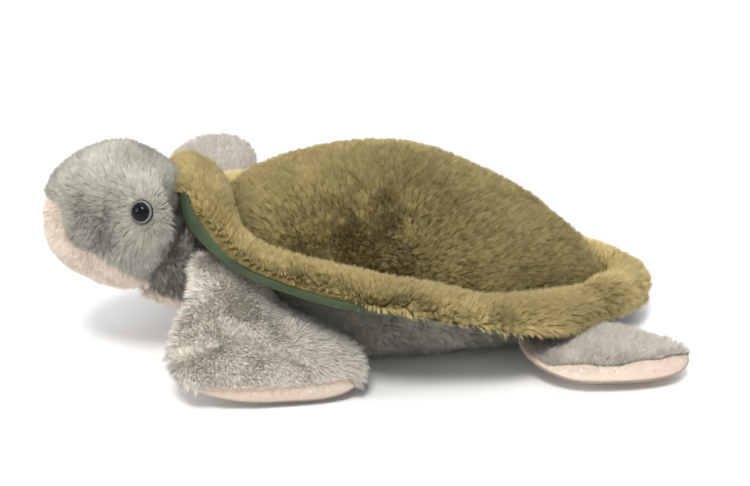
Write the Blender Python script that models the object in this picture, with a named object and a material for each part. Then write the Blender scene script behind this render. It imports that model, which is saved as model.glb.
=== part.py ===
"""Plush sea turtle, built from its sewn pieces.

Metres, +Z up, head towards -X, tail towards +X, the turtle's left side
towards -Y.  The turtle lies on its belly panel at Z = 0.

Every skin (pile fabric with its backing) is a separate shell of its own, every
stuffing is a closed solid inside those shells, and the neck, the head and the
four flippers turn on the seams they are sewn along.
"""

import math

import bmesh
import bpy
import numpy as np
from mathutils import Matrix, Vector

# ---------------------------------------------------------------- dimensions
# The model is laid out about a working origin under the shell, then moved so
# that the row origin is the middle of the bounding box at floor level.
CENTRE_SHIFT = (0.02739, -0.01897, 0.0)

PILE = 0.0050          # thickness of the plush skins, backing and pile
LINING = 0.0016        # thickness of the smooth lining under the shell
GAP = 0.0005           # clearance between neighbouring pieces
SLACK = 0.0010         # clearance between a skin and its stuffing

# shell: stations from the front centre to the tail centre, left side.
# (rim edge x, half width, z) and (dome seam x, half width, z)
RIM_EDGE = [
    (-0.1360, 0.000, 0.1135), (-0.1362, 0.025, 0.1127), (-0.1326, 0.0465, 0.1055),
    (-0.1130, 0.0715, 0.0885), (-0.0860, 0.0935, 0.0805), (-0.0530, 0.1100, 0.0745),
    (-0.0130, 0.1200, 0.0660), (0.0270, 0.1195, 0.0515), (0.0640, 0.1080, 0.0385),
    (0.0980, 0.0815, 0.0312), (0.1280, 0.0535, 0.0262), (0.1535, 0.0265, 0.0222),
    (0.1635, 0.000, 0.0206),
]
DOME_SEAM = [
    (-0.1040, 0.000, 0.0945), (-0.1050, 0.019, 0.0940), (-0.1030, 0.037, 0.0915),
    (-0.0930, 0.053, 0.0875), (-0.0700, 0.067, 0.0830), (-0.0430, 0.077, 0.0775),
    (-0.0110, 0.082, 0.0705), (0.0230, 0.082, 0.0615), (0.0540, 0.0725, 0.0540),
    (0.0830, 0.0530, 0.0475), (0.1090, 0.034, 0.0425), (0.1270, 0.0170, 0.0390),
    (0.1340, 0.000, 0.0380),
]
DOME_CENTRE = (-0.005, 0.1250)      # x and z of the top of the dome
RIM_UP, RIM_DOWN = 0.0105, 0.0085   # half thickness of the rim above and below
SHELL_SIDES = 36                    # sections round the shell
LINING_Z, LINING_FALL = 0.0600, 0.2270   # underside height at the dome centre, fall per metre of x

# body cushion: x, half width, underside z
BODY = [
    (-0.0920, 0.0490, 0.0030), (-0.0700, 0.0550, 0.0000), (-0.0350, 0.0620, 0.0000),
    (0.0050, 0.0650, 0.0000), (0.0420, 0.0600, 0.0000), (0.0740, 0.0500, 0.0000),
    (0.0990, 0.0360, 0.0030), (0.1140, 0.0210, 0.0080), (0.1190, 0.0050, 0.0135),
]
BODY_FRONT = (0.0420, 0.0130)       # half width and underside z at the neck end
BELLY_SEAM_DEG = 30.0               # half angle of the belly panel in a section

# neck: it nods on a cross axis in the chest, and holds the round of the head
NOD = (-0.0750, 0.0500)             # x, z of the nodding axis
NOD_R = 0.0450                      # radius of the round joint face on the body
HEAD_C = (-0.1680, 0.0790)          # x, z of the middle of the round head back
HEAD_R = 0.0390                     # its radius
NECK_W = 0.0310                     # half width of the neck
NECK_UP, NECK_DOWN = 0.0220, 0.0360 # its reach above and below its axis
THROAT_DEG = 52.0                   # half angle of the throat panel

# head: x, half width, top z, bottom z
HEAD = [
    (-0.2195, 0.0020, 0.0930, 0.0890), (-0.2165, 0.0135, 0.1080, 0.0740),
    (-0.2080, 0.0235, 0.1215, 0.0625), (-0.1945, 0.0320, 0.1310, 0.0530),
    (-0.1800, 0.0385, 0.1355, 0.0475), (-0.1650, 0.0430, 0.1355, 0.0450),
    (-0.1520, 0.0440, 0.1270, 0.0450), (-0.1440, 0.0390, 0.1145, 0.0530),
    (-0.1375, 0.0270, 0.1000, 0.0660), (-0.1345, 0.0040, 0.0860, 0.0820),
]
CHIN_SEAM = [                       # x, z of the seam between grey and pale skin
    (-0.2600, 0.1060), (-0.2175, 0.1060), (-0.2085, 0.1040), (-0.2058, 0.0960),
    (-0.2045, 0.0875), (-0.1985, 0.0820), (-0.1860, 0.0770), (-0.1690, 0.0650),
    (-0.1510, 0.0455), (-0.1300, 0.0200),
]
EYE_AT = (-0.1630, 0.1065)          # x, z of the eyes on the head's side
EYE_TURN_DEG = 27.0                 # how far the eyes face forwards
EYE_RISE_DEG = 17.0                 # how far the eyes face upwards
EYE_R, EYE_DOME = 0.0078, 0.0042    # bezel radius and height of the dome
EYE_SEAT = -0.0008                  # the eye's flange sinks this far into the pile
SHANK_R, SHANK_L = 0.0022, 0.0091   # stem behind the eye
WASHER_R, WASHER_T = 0.0060, 0.0014

# flippers: hinge point (x, half width, z), slope of the pad below horizontal in
# degrees, greatest half thickness, outline (along the body, outwards).
FRONT_LEFT = dict(
    hinge=(-0.1190, 0.0550, 0.0630), slope=52.0, thick=0.0115,
    centre=(0.0180, 0.0330),
    outline=[
        (-0.0190, -0.0095), (-0.0265, 0.0060), (-0.0330, 0.0220), (-0.0358, 0.0370),
        (-0.0330, 0.0500), (-0.0250, 0.0600), (-0.0120, 0.0665), (0.0080, 0.0715),
        (0.0290, 0.0740), (0.0490, 0.0745), (0.0650, 0.0720), (0.0750, 0.0655),
        (0.0780, 0.0570), (0.0740, 0.0455), (0.0620, 0.0355), (0.0470, 0.0275),
        (0.0340, 0.0180), (0.0250, 0.0080), (0.0190, -0.0095), (0.0000, -0.0110),
    ],
)
FRONT_RIGHT = dict(
    hinge=(-0.1190, 0.0550, 0.0580), slope=-12.0, thick=0.0095,
    centre=(0.0120, 0.0620),
    outline=[
        (-0.0190, -0.0095), (-0.0215, 0.0100), (-0.0220, 0.0330), (-0.0180, 0.0570),
        (-0.0100, 0.0790), (0.0000, 0.0970), (0.0130, 0.1080), (0.0270, 0.1110),
        (0.0400, 0.1060), (0.0480, 0.0930), (0.0490, 0.0760), (0.0430, 0.0580),
        (0.0330, 0.0400), (0.0250, 0.0230), (0.0200, 0.0080), (0.0180, -0.0095),
        (0.0000, -0.0110),
    ],
)
REAR = dict(
    hinge=(0.0830, 0.0660, 0.0185), slope=9.0, thick=0.0100,
    centre=(0.0200, 0.0290),
    outline=[
        (-0.0210, -0.0080), (-0.0265, 0.0080), (-0.0255, 0.0250), (-0.0180, 0.0410),
        (-0.0050, 0.0530), (0.0120, 0.0580), (0.0300, 0.0600), (0.0460, 0.0595),
        (0.0580, 0.0560), (0.0660, 0.0470), (0.0700, 0.0370), (0.0655, 0.0270),
        (0.0560, 0.0170), (0.0430, 0.0070), (0.0290, -0.0010), (0.0160, -0.0080),
        (-0.0030, -0.0095),
    ],
)
# the far rear flipper points straight out under the rim
REAR_RIGHT = dict(REAR, centre=(-0.0010, 0.0340), outline=[
    (-0.0210, -0.0080), (-0.0265, 0.0080), (-0.0300, 0.0240), (-0.0330, 0.0400),
    (-0.0320, 0.0560), (-0.0255, 0.0690), (-0.0140, 0.0765), (-0.0010, 0.0760),
    (0.0100, 0.0690), (0.0180, 0.0590), (0.0255, 0.0470), (0.0310, 0.0340),
    (0.0330, 0.0210), (0.0310, 0.0100), (0.0250, 0.0000), (0.0160, -0.0080),
    (-0.0030, -0.0095),
])
ROOT_R = 0.0105                     # every flipper's root is round about its hinge

# ------------------------------------------------------------------- colours
SHELL_GREEN = (0.268, 0.223, 0.085, 1.0)
FUR_GREY = (0.420, 0.430, 0.375, 1.0)
FUR_PALE = (0.790, 0.620, 0.510, 1.0)
LINING_GREEN = (0.050, 0.130, 0.065, 1.0)
FIBRE_WHITE = (0.830, 0.830, 0.800, 1.0)
EYE_DARK = (0.012, 0.014, 0.018, 1.0)
WASHER_WHITE = (0.700, 0.700, 0.680, 1.0)


def clear_scene():
    for obj in list(bpy.data.objects):
        bpy.data.objects.remove(obj, do_unlink=True)


def material(name, colour, roughness):
    mat = bpy.data.materials.new(name)
    mat.use_nodes = True
    shader = mat.node_tree.nodes["Principled BSDF"]
    shader.inputs["Base Color"].default_value = colour
    shader.inputs["Roughness"].default_value = roughness
    shader.inputs["Metallic"].default_value = 0.0
    mat.diffuse_color = colour
    return mat


# ---------------------------------------------------------------- small maths
def curve_through(points, count):
    """count points on a smooth curve through the given ones, ends included."""
    pts = np.asarray(points, float)
    n = len(pts)
    slope = np.zeros_like(pts)
    slope[1:-1] = (pts[2:] - pts[:-2]) / 2
    slope[0] = pts[1] - pts[0]
    slope[-1] = pts[-1] - pts[-2]
    out = []
    for t in np.linspace(0, n - 1, count):
        i = min(int(t), n - 2)
        u = t - i
        h00, h10 = 2 * u**3 - 3 * u**2 + 1, u**3 - 2 * u**2 + u
        h01, h11 = -2 * u**3 + 3 * u**2, u**3 - u**2
        out.append(h00 * pts[i] + h10 * slope[i] + h01 * pts[i + 1] + h11 * slope[i + 1])
    return np.array(out)


def closed_curve_through(points, count):
    """count points, evenly spaced by length, on a smooth closed curve."""
    pts = np.asarray(points, float)
    n = len(pts)
    fine = []
    for i in range(n):
        p0, p1, p2, p3 = pts[i - 1], pts[i], pts[(i + 1) % n], pts[(i + 2) % n]
        for u in np.linspace(0, 1, 12, endpoint=False):
            fine.append(0.5 * (2 * p1 + (p2 - p0) * u + (2 * p0 - 5 * p1 + 4 * p2 - p3) * u**2
                               + (3 * p1 - p0 - 3 * p2 + p3) * u**3))
    fine = np.array(fine + fine[:1])
    run = np.concatenate([[0], np.cumsum(np.linalg.norm(np.diff(fine, axis=0), axis=1))])
    at = np.linspace(0, run[-1], count, endpoint=False)
    return np.stack([np.interp(at, run, fine[:, k]) for k in range(2)], axis=1)


def offset_loop(loop, distance):
    """A closed 2-D loop moved inwards by distance along its own normals."""
    loop = np.asarray(loop, float)
    ahead, behind = np.roll(loop, -1, axis=0), np.roll(loop, 1, axis=0)
    tangent = ahead - behind
    tangent /= np.linalg.norm(tangent, axis=1)[:, None]
    normal = np.stack([-tangent[:, 1], tangent[:, 0]], axis=1)
    area = 0.5 * np.sum(loop[:, 0] * ahead[:, 1] - ahead[:, 0] * loop[:, 1])
    return loop + normal * distance * (1 if area > 0 else -1)


def offset_line(line, distance):
    """An open 2-D line moved sideways (to its right) by distance."""
    line = np.asarray(line, float)
    tangent = np.gradient(line, axis=0)
    tangent /= np.linalg.norm(tangent, axis=1)[:, None]
    return line + np.stack([tangent[:, 1], -tangent[:, 0]], axis=1) * distance


# ------------------------------------------------------------- mesh building
def make_piece(name, verts, faces, mat):
    """One closed body as an object, its faces turned outwards, smooth shaded."""
    mesh = bpy.data.meshes.new(name)
    shift = np.array(CENTRE_SHIFT)
    bm = bmesh.new()
    made = [bm.verts.new(Vector(np.asarray(v) + shift)) for v in verts]
    for face in faces:
        ring = []
        for i in face:
            if made[i] not in ring:
                ring.append(made[i])
        if len(ring) > 2 and bm.faces.get(ring) is None:
            bm.faces.new(ring)
    bmesh.ops.remove_doubles(bm, verts=bm.verts, dist=2e-6)
    bmesh.ops.dissolve_degenerate(bm, edges=bm.edges, dist=1e-6)
    loose = [v for v in bm.verts if not v.link_faces]
    bmesh.ops.delete(bm, geom=loose, context="VERTS")
    bmesh.ops.triangulate(bm, faces=bm.faces)
    bmesh.ops.recalc_face_normals(bm, faces=bm.faces)
    if bm.calc_volume(signed=True) < 0:
        bmesh.ops.reverse_faces(bm, faces=bm.faces)
    bm.to_mesh(mesh)
    bm.free()
    mesh.materials.append(mat)
    mesh.shade_smooth()
    mesh.set_sharp_from_angle(angle=math.radians(40))
    obj = bpy.data.objects.new(name, mesh)
    bpy.context.collection.objects.link(obj)
    return obj


def join_grids(grids, wraps):
    """Vertices and faces of several [rings][sides][3] grids, one after another."""
    verts, faces, starts = [], [], []
    for grid, wrap in zip(grids, wraps):
        start = len(verts)
        starts.append(start)
        rings, sides = grid.shape[:2]
        verts += [tuple(p) for p in grid.reshape(-1, 3)]
        for i in range(rings - 1):
            for j in range(sides if wrap else sides - 1):
                k = (j + 1) % sides
                a, b = start + i * sides + j, start + i * sides + k
                faces.append((a, b, b + sides))
                faces.append((a, b + sides, a + sides))
    return verts, faces, starts


def bridge(start_a, start_b, sides, wrap, ring_a=0, ring_b=0):
    """Faces between one ring of grid a and one ring of grid b."""
    faces = []
    for j in range(sides if wrap else sides - 1):
        k = (j + 1) % sides
        a, b = start_a + ring_a * sides, start_b + ring_b * sides
        faces.append((a + j, a + k, b + k))
        faces.append((a + j, b + k, b + j))
    return faces


def skin_piece(name, outer, inner, mat, wrap=True, ends=(True, True)):
    """A sewn skin: the outer and inner surfaces joined round their open edges.

    ends says whether the first and the last ring are open edges; an end that
    isn't open closes in a point of its own on each surface.
    """
    rings, sides = outer.shape[:2]
    verts, faces, (a, b) = join_grids([outer, inner], [wrap, wrap])
    if ends[0]:
        faces += bridge(a, b, sides, wrap)
    if ends[1]:
        faces += bridge(a, b, sides, wrap, rings - 1, rings - 1)
    if not wrap:
        for i in range(rings - 1):
            for side in (0, sides - 1):
                p, q = i * sides + side, (i + 1) * sides + side
                faces.append((a + p, a + q, b + q))
                faces.append((a + p, b + q, b + p))
    return make_piece(name, verts, faces, mat)


def solid_piece(name, grid, mat):
    """A closed solid from rings whose first and last rings are single points
    or are filled as flat caps."""
    rings, sides = grid.shape[:2]
    verts, faces, (a,) = join_grids([grid], [True])
    for ring in (0, rings - 1):
        if np.ptp(grid[ring], axis=0).max() > 1e-6:
            faces.append(tuple(a + ring * sides + j for j in range(sides)))
    return make_piece(name, verts, faces, mat)


# --------------------------------------------------------------------- shell
def shell_stations():
    """Seam and edge points all round the shell, from the front centre, down the
    left side to the tail and back up the right side."""
    half = SHELL_SIDES // 2
    edge = curve_through(RIM_EDGE, half + 1)
    seam = curve_through(DOME_SEAM, half + 1)

    def both(side):
        left = np.stack([side[:, 0], -side[:, 1], side[:, 2]], axis=1)
        right = left[1:-1][::-1] * np.array([1, -1, 1])
        return np.concatenate([left, right])

    return both(seam), both(edge)


def dome_rings(seam, fractions, drop=0.0, pull=0.0):
    """Rings of the dome, at fractions of the way from its top to the seam."""
    cx, cz = DOME_CENTRE
    tail = np.clip((seam[:, 0] - cx) / 0.136, 0, 1)
    power = 2.05 - 0.45 * tail
    rings = []
    for s in fractions:
        ring = seam.copy()
        scale = s * (1 - pull)
        ring[:, 0] = cx + scale * (seam[:, 0] - cx)
        ring[:, 1] = scale * seam[:, 1]
        rise = (1 - s**power) ** 0.86
        ring[:, 2] = seam[:, 2] + (cz - seam[:, 2]) * rise - drop
        rings.append(ring)
    return np.array(rings)


def dome_offset(rings, distance):
    """The dome's rings moved inwards along their normals."""
    ahead, behind = np.roll(rings, -1, axis=1), np.roll(rings, 1, axis=1)
    across = ahead - behind
    down = np.gradient(rings, axis=0)
    normal = np.cross(across, down)
    size = np.linalg.norm(normal, axis=2)[..., None]
    normal = np.where(size > 1e-12, normal / np.maximum(size, 1e-12), np.array([0, 0, 1.0]))
    normal *= np.sign(normal[..., 2:3] + 1e-9)
    if np.ptp(rings[0], axis=0).max() < 1e-6:
        normal[0] = (0, 0, 1)
    return rings - normal * distance


def rim_section(seam, edge, up, down, start_deg, end_deg, count, shrink=0.0):
    """Points round the rim's oval section, for every station. 0 degrees is the
    outer edge, 90 the crest, 180 the seam with the dome."""
    run = edge - seam
    flat = run * np.array([1, 1, 0])
    flat /= np.linalg.norm(flat, axis=1)[:, None]
    width = np.linalg.norm(run, axis=1)
    along = run / width[:, None]
    # perpendicular to the run, in the upright plane that holds it
    tilt = run[:, 2] / width
    upright = np.stack([-flat[:, 0] * tilt, -flat[:, 1] * tilt,
                        np.sqrt(1 - tilt**2)], axis=1)
    middle = (seam + edge) / 2
    half = width / 2 - shrink
    thin = 0.72 + 0.28 * np.clip((middle[:, 0] + 0.118) / 0.03, 0, 1)
    rings = []
    for deg in np.linspace(start_deg, end_deg, count):
        a = math.radians(deg)
        ca, sa = math.cos(a), math.sin(a)
        out = np.sign(ca) * abs(ca) ** 0.86
        rise = abs(sa) ** 0.86 * (np.full(len(half), up) if sa > 0 else -down * thin)
        rings.append(middle + along * (half * out)[:, None] + upright * rise[:, None])
    return np.array(rings)


def make_shell(mats):
    seam, edge = shell_stations()

    # dome skin: a bowl of pile fabric, open underneath
    steps = (0.0, 0.28, 0.52, 0.72, 0.88, 0.985)
    dome = dome_rings(seam, steps)
    skin_piece("shell_dome", dome, dome_offset(dome, PILE), mats["shell"],
               ends=(False, True))

    # stuffing under the dome, down to the lining
    top = dome_offset(dome_rings(seam, (0.0, 0.28, 0.52, 0.72, 0.87)), PILE + SLACK)
    low = top[::-1].copy()
    base = lining_height(low)
    low[..., 2] = base + LINING + SLACK
    keep = top[..., 2] > lining_height(top) + LINING + 3 * GAP
    top[..., 2] = np.where(keep, top[..., 2], lining_height(top) + LINING + 3 * GAP)
    solid_piece("shell_fill", np.concatenate([top, low]), mats["fibre"])

    # rim skin: an arch of pile fabric over the stuffed ring
    outer = rim_section(seam, edge, RIM_UP, RIM_DOWN, -8, 178, 9)
    inner = rim_section(seam, edge, RIM_UP - PILE, RIM_DOWN - LINING, -8, 172, 9, PILE)
    skin_piece("shell_rim", outer, inner, mats["shell"])

    # stuffing of the rim, one closed ring
    ring = rim_section(seam, edge, RIM_UP - PILE - SLACK, RIM_DOWN - LINING - SLACK,
                       0, 360, 11, PILE + SLACK)[:-1]
    verts, faces, (a,) = join_grids([np.concatenate([ring, ring[:1]])], [True])
    make_piece("rim_fill", verts, faces, mats["fibre"])

    # lining: smooth fabric from the rim's outer edge inwards, right across
    under = rim_section(seam, edge, RIM_UP, RIM_DOWN, -18, -150, 6)
    upper = rim_section(seam, edge, RIM_UP, RIM_DOWN - LINING, -18, -150, 6, LINING)
    flat, roof = [], []
    cx = DOME_CENTRE[0]
    for s in (0.90, 0.45, 0.0):
        ring = seam.copy()
        ring[:, 0] = cx + s * (seam[:, 0] - cx)
        ring[:, 1] = s * seam[:, 1]
        ring[:, 2] = lining_height(ring)
        flat.append(ring)
        roof.append(ring + np.array([0, 0, LINING]))
    under = np.concatenate([under, np.array(flat)])
    upper = np.concatenate([upper, np.array(roof)])
    skin_piece("shell_lining", under, upper, mats["lining"], ends=(True, False))


def lining_height(points):
    """Height of the lining's underside: it slopes down from front to tail."""
    return LINING_Z - LINING_FALL * (points[..., 0] - DOME_CENTRE[0])


# ---------------------------------------------------------------------- body
def body_section(x, half, low, sides, inset=0.0, front=False):
    """One closed section of the body cushion; the top follows the lining."""
    high = LINING_Z - LINING_FALL * (x - DOME_CENTRE[0]) - 0.0022 - inset
    low, half = low + inset, max(half - inset, 0.0012)
    high = max(high, low + 0.0024)
    floor = low
    dip = 0.0035 if high - low > 0.02 else 0.0
    middle, tall = (high + low - dip) / 2, (high - low + dip) / 2
    ring = []
    for deg in np.linspace(-90, 270, sides, endpoint=False):
        a = math.radians(deg)
        ca, sa = math.cos(a), math.sin(a)
        y = half * np.sign(ca) * abs(ca) ** 0.78
        z = middle + tall * np.sign(sa) * abs(sa) ** 0.78
        px = x
        z = max(z, floor)
        if front:
            # the neck end is round about the nodding axis
            reach = NOD_R - GAP
            px = NOD[0] - math.sqrt(max(reach**2 - (z - NOD[1]) ** 2, 0.0004**2))
        ring.append((px, y, z))
    return np.array(ring)


def body_rings(sides, inset=0.0, last=None):
    half, low = BODY_FRONT
    rings = [body_section(-0.1100, half, low, sides, inset, front=True)]
    for x, half, low in BODY[:last]:
        rings.append(body_section(x, half, low, sides, inset))
    return np.array(rings)


def make_body(mats):
    sides = 24
    outer = body_rings(sides)
    inner = body_rings(sides, PILE)
    # the skins are strips of the same section: the belly panel is the strip
    # across the bottom, the grey cover is the rest
    strip = round(BELLY_SEAM_DEG / (360 / sides))
    belly = [j % sides for j in range(-strip, strip + 1)]
    rest = list(range(strip, sides - strip + 1))

    def cut(rings, columns, trim):
        part = rings[:, columns].copy()
        for end, near in ((0, 1), (-1, -2)):
            run = part[:, near] - part[:, end]
            size = np.maximum(np.linalg.norm(run, axis=1), 1e-9)[:, None]
            part[:, end] += run / size * np.minimum(trim, size * 0.3)
        return part

    skin_piece("belly_panel", cut(outer, belly, GAP), cut(inner, belly, GAP),
               mats["pale"], wrap=False)
    skin_piece("body_cover", cut(outer, rest, GAP), cut(inner, rest, GAP),
               mats["grey"], wrap=False)

    # stuffing: front face round about the nodding axis
    fill = body_rings(sides, PILE + SLACK, last=-1)
    front = fill[0]
    caps = []
    for k in (0.0, 0.35, 0.7):
        ring = front.copy()
        mid = np.array([0, 0, (front[:, 2].max() + front[:, 2].min()) / 2])
        ring[:, 1] = mid[1] + k * (front[:, 1] - mid[1])
        ring[:, 2] = mid[2] + k * (front[:, 2] - mid[2])
        reach = NOD_R - GAP
        ring[:, 0] = NOD[0] - np.sqrt(reach**2 - (ring[:, 2] - NOD[1]) ** 2)
        caps.append(ring)
    tip = fill[-1].copy()
    tip[:] = tip.mean(axis=0)
    solid_piece("body_fill", np.concatenate([caps, fill, tip[None]]), mats["fibre"])


# ---------------------------------------------------------------------- neck
def neck_frame():
    nod = np.array([NOD[0], 0, NOD[1]])
    head = np.array([HEAD_C[0], 0, HEAD_C[1]])
    run = head - nod
    length = np.linalg.norm(run)
    along = run / length
    across = np.array([0, -1.0, 0])
    up = np.cross(across, along)
    up *= np.sign(up[2])
    return nod, head, length, along, across, up


def neck_ring(angle_degs, scale, end, inset):
    """Points where lines along the neck meet the body's round face (end 0) or
    the head's round back (end 1)."""
    nod, _head, length, along, across, up = neck_frame()
    ring = []
    for deg in angle_degs:
        a = math.radians(deg)
        tall = NECK_UP if math.sin(a) > 0 else NECK_DOWN
        e = (tall - inset) * scale * math.sin(a)
        w = (NECK_W - inset) * scale * math.cos(a)
        if end == 0:
            t = math.sqrt((NOD_R + GAP) ** 2 - e**2)
        else:
            t = length - math.sqrt((HEAD_R + GAP + 0.0004) ** 2 - e**2 - w**2)
        ring.append(nod + along * t + across * w + up * e)
    return np.array(ring)


def make_neck(mats):
    def tube(name, low_deg, high_deg, count, mat):
        degs = np.linspace(low_deg, high_deg, count)
        trim = math.degrees(GAP / NECK_W)
        degs[0] += trim
        degs[-1] -= trim

        def grid(inset):
            first = neck_ring(degs, 1.0, 0, inset)
            last = neck_ring(degs, 1.0, 1, inset)
            return np.array([first + (last - first) * k for k in (0, 0.5, 1)])

        skin_piece(name, grid(0.0), grid(PILE), mat, wrap=False)

    tube("neck_cover", -90 + THROAT_DEG, 270 - THROAT_DEG, 15, mats["grey"])
    tube("throat_panel", -90 - THROAT_DEG, -90 + THROAT_DEG, 7, mats["pale"])
    degs = np.linspace(0, 360, 18, endpoint=False)
    scales = (0.0, 0.35, 0.7, 1.0)
    back = [neck_ring(degs, k, 0, PILE + SLACK) for k in scales]
    face = [neck_ring(degs, k, 1, PILE + SLACK) for k in reversed(scales)]
    solid_piece("neck_fill", np.array(back + face), mats["fibre"])


# ---------------------------------------------------------------------- head
def head_profile(x):
    table = curve_through(HEAD, 60)
    order = np.argsort(table[:, 0])
    table = table[order]
    return tuple(np.interp(x, table[:, 0], table[:, k]) for k in (1, 2, 3))


def head_reach(direction):
    """Distance from the middle of the round back out to the head's surface."""
    centre = np.array([HEAD_C[0], 0, HEAD_C[1]])
    near, far = 0.005, 0.080
    for _ in range(40):
        r = (near + far) / 2
        x, y, z = centre + direction * r
        inside = False
        if HEAD[0][0] < x < HEAD[-1][0]:
            half, high, low = head_profile(x)
            middle, tall = (high + low) / 2, (high - low) / 2
            inside = (abs(y) / half) ** 2.15 + (abs(z - middle) / tall) ** 2.15 < 1
        near, far = (r, far) if inside else (near, r)
    return near


def make_head(mats):
    nod, centre, _length, along, across, up = neck_frame()
    sides = 20
    polar = np.radians([50, 60, 71, 83, 96, 110, 125, 140, 154, 167])
    turns = np.linspace(0, 2 * math.pi, sides, endpoint=False)

    def surface(inset, polar_angles, closed_front=True):
        rings = []
        for p in polar_angles:
            ring = []
            for t in turns:
                d = (-along * math.cos(p)
                     + (across * math.cos(t) + up * math.sin(t)) * math.sin(p))
                # round back inside the neck's cup, then the head's own shape
                k = min(max((math.degrees(p) - 68) / 14, 0), 1)
                r = HEAD_R * (1 - k) + head_reach(d) * k
                ring.append(centre + d * (r - inset))
            rings.append(ring)
        if closed_front:
            r = head_reach(along)
            rings.append([centre + along * (r - inset)] * sides)
        return np.array(rings)

    outer, inner = surface(0, polar), surface(PILE, polar)
    head = skin_piece("head_cover", outer, inner, mats["grey"], ends=(True, False))
    chin = skin_piece("chin_panel", outer, inner, mats["pale"], ends=(True, False))

    # stuffing, with its round back out to the neck
    back = np.radians([0, 16, 33])
    inside = surface(PILE + SLACK, np.concatenate([back, polar]))
    fill = solid_piece("head_fill", inside, mats["fibre"])

    # the seam between the grey and the pale skin, cut by a profile across
    def seam_cutter(name, lift):
        line = np.array(CHIN_SEAM)
        line = offset_line(line, lift)
        profile = [tuple(p) for p in line] + [(-0.1300, -0.0500), (-0.2600, -0.0500)]
        verts = [(x, y, z) for y in (-0.08, 0.08) for x, z in profile]
        n = len(profile)
        faces = [tuple(range(n)), tuple(range(n, 2 * n))]
        faces += [(j, (j + 1) % n, n + (j + 1) % n, n + j) for j in range(n)]
        cutter = make_piece(name, verts, faces, mats["washer"])
        cutter.hide_render = True
        cutter.display_type = "WIRE"
        return cutter

    below = seam_cutter("chin_cutter", GAP / 2)
    above = seam_cutter("crown_cutter", -GAP / 2)
    cut = chin.modifiers.new("seam", "BOOLEAN")
    cut.operation, cut.solver, cut.object = "INTERSECT", "EXACT", below
    cut = head.modifiers.new("seam", "BOOLEAN")
    cut.operation, cut.solver, cut.object = "DIFFERENCE", "EXACT", above
    return head, fill, centre


def turned(profile, sides, origin, axis):
    """A solid turned about axis through origin, from (distance along, radius)
    pairs that start and end on the axis."""
    axis = Vector(axis).normalized()
    side = axis.orthogonal().normalized()
    other = axis.cross(side)
    grid = []
    for t, r in profile:
        ring = []
        for j in range(sides):
            a = 2 * math.pi * j / sides
            p = Vector(origin) + axis * t + (side * math.cos(a) + other * math.sin(a)) * r
            ring.append(tuple(p))
        grid.append(ring)
    return np.array(grid)


def make_eyes(mats, head, fill, centre):
    for name, sign in (("left", -1), ("right", 1)):
        turn, rise = math.radians(EYE_TURN_DEG), math.radians(EYE_RISE_DEG)
        axis = np.array([-math.sin(turn) * math.cos(rise),
                         sign * math.cos(turn) * math.cos(rise), math.sin(rise)])
        # seat: the point of the skin that lies at the eye's x and z
        half, high, low = head_profile(EYE_AT[0])
        middle, tall = (high + low) / 2, (high - low) / 2
        y = half * (1 - (abs(EYE_AT[1] - middle) / tall) ** 2.15) ** (1 / 2.15)
        seat = np.array([EYE_AT[0], sign * y, EYE_AT[1]]) + axis * EYE_SEAT
        dome = [(EYE_DOME * math.cos(a), EYE_R * 0.93 * math.sin(a))
                for a in np.radians([0, 22, 45, 68, 90])]
        profile = ([(t + 0.0012, r) for t, r in dome]
                   + [(0.0012, EYE_R), (0.0, EYE_R), (0.0, SHANK_R), (-SHANK_L, SHANK_R),
                      (-SHANK_L, 0)])
        solid_piece("eye_" + name, turned(profile, 14, seat, axis), mats["eye"])
        # washer pressed up the stem, behind the skin
        back = -0.0048
        hole = SHANK_R + GAP
        ring = [(back, WASHER_R), (back, hole), (back - WASHER_T, hole),
                (back - WASHER_T, WASHER_R)]
        grid = turned(ring + ring[:1], 14, seat, axis)
        verts, faces, (a,) = join_grids([grid], [True])
        make_piece("eye_washer_" + name, verts, faces, mats["washer"])

        # the skin's stem hole and eye seat, and the pocket in the stuffing
        def cutter(label, profile):
            obj = solid_piece(label, turned(profile, 14, seat, axis), mats["washer"])
            obj.hide_render = True
            obj.display_type = "WIRE"
            return obj

        seat_cut = cutter("seat_cutter_" + name, [
            (0.020, 0), (0.020, EYE_R + 0.0006), (-0.0005, EYE_R + 0.0006),
            (-0.0005, SHANK_R + 0.0005), (-0.0042, SHANK_R + 0.0005),
            (-0.0042, WASHER_R + 0.0006), (-0.0166, WASHER_R + 0.0006), (-0.0166, 0)])
        pocket = cutter("pocket_cutter_" + name, [
            (0.0074, 0), (0.0074, WASHER_R + 0.0010), (-0.0111, WASHER_R + 0.0010),
            (-0.0111, 0)])
        cut = head.modifiers.new("stem_" + name, "BOOLEAN")
        cut.operation, cut.solver, cut.object = "DIFFERENCE", "EXACT", seat_cut
        cut = fill.modifiers.new("pocket_" + name, "BOOLEAN")
        cut.operation, cut.solver, cut.object = "DIFFERENCE", "EXACT", pocket


# ------------------------------------------------------------------ flippers
def pad_height(r, thick, edge):
    """Half thickness of a stuffed pad at fraction r from its middle to its edge."""
    return edge + (thick - edge) * (1 - r**2.6) ** 0.62


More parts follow.
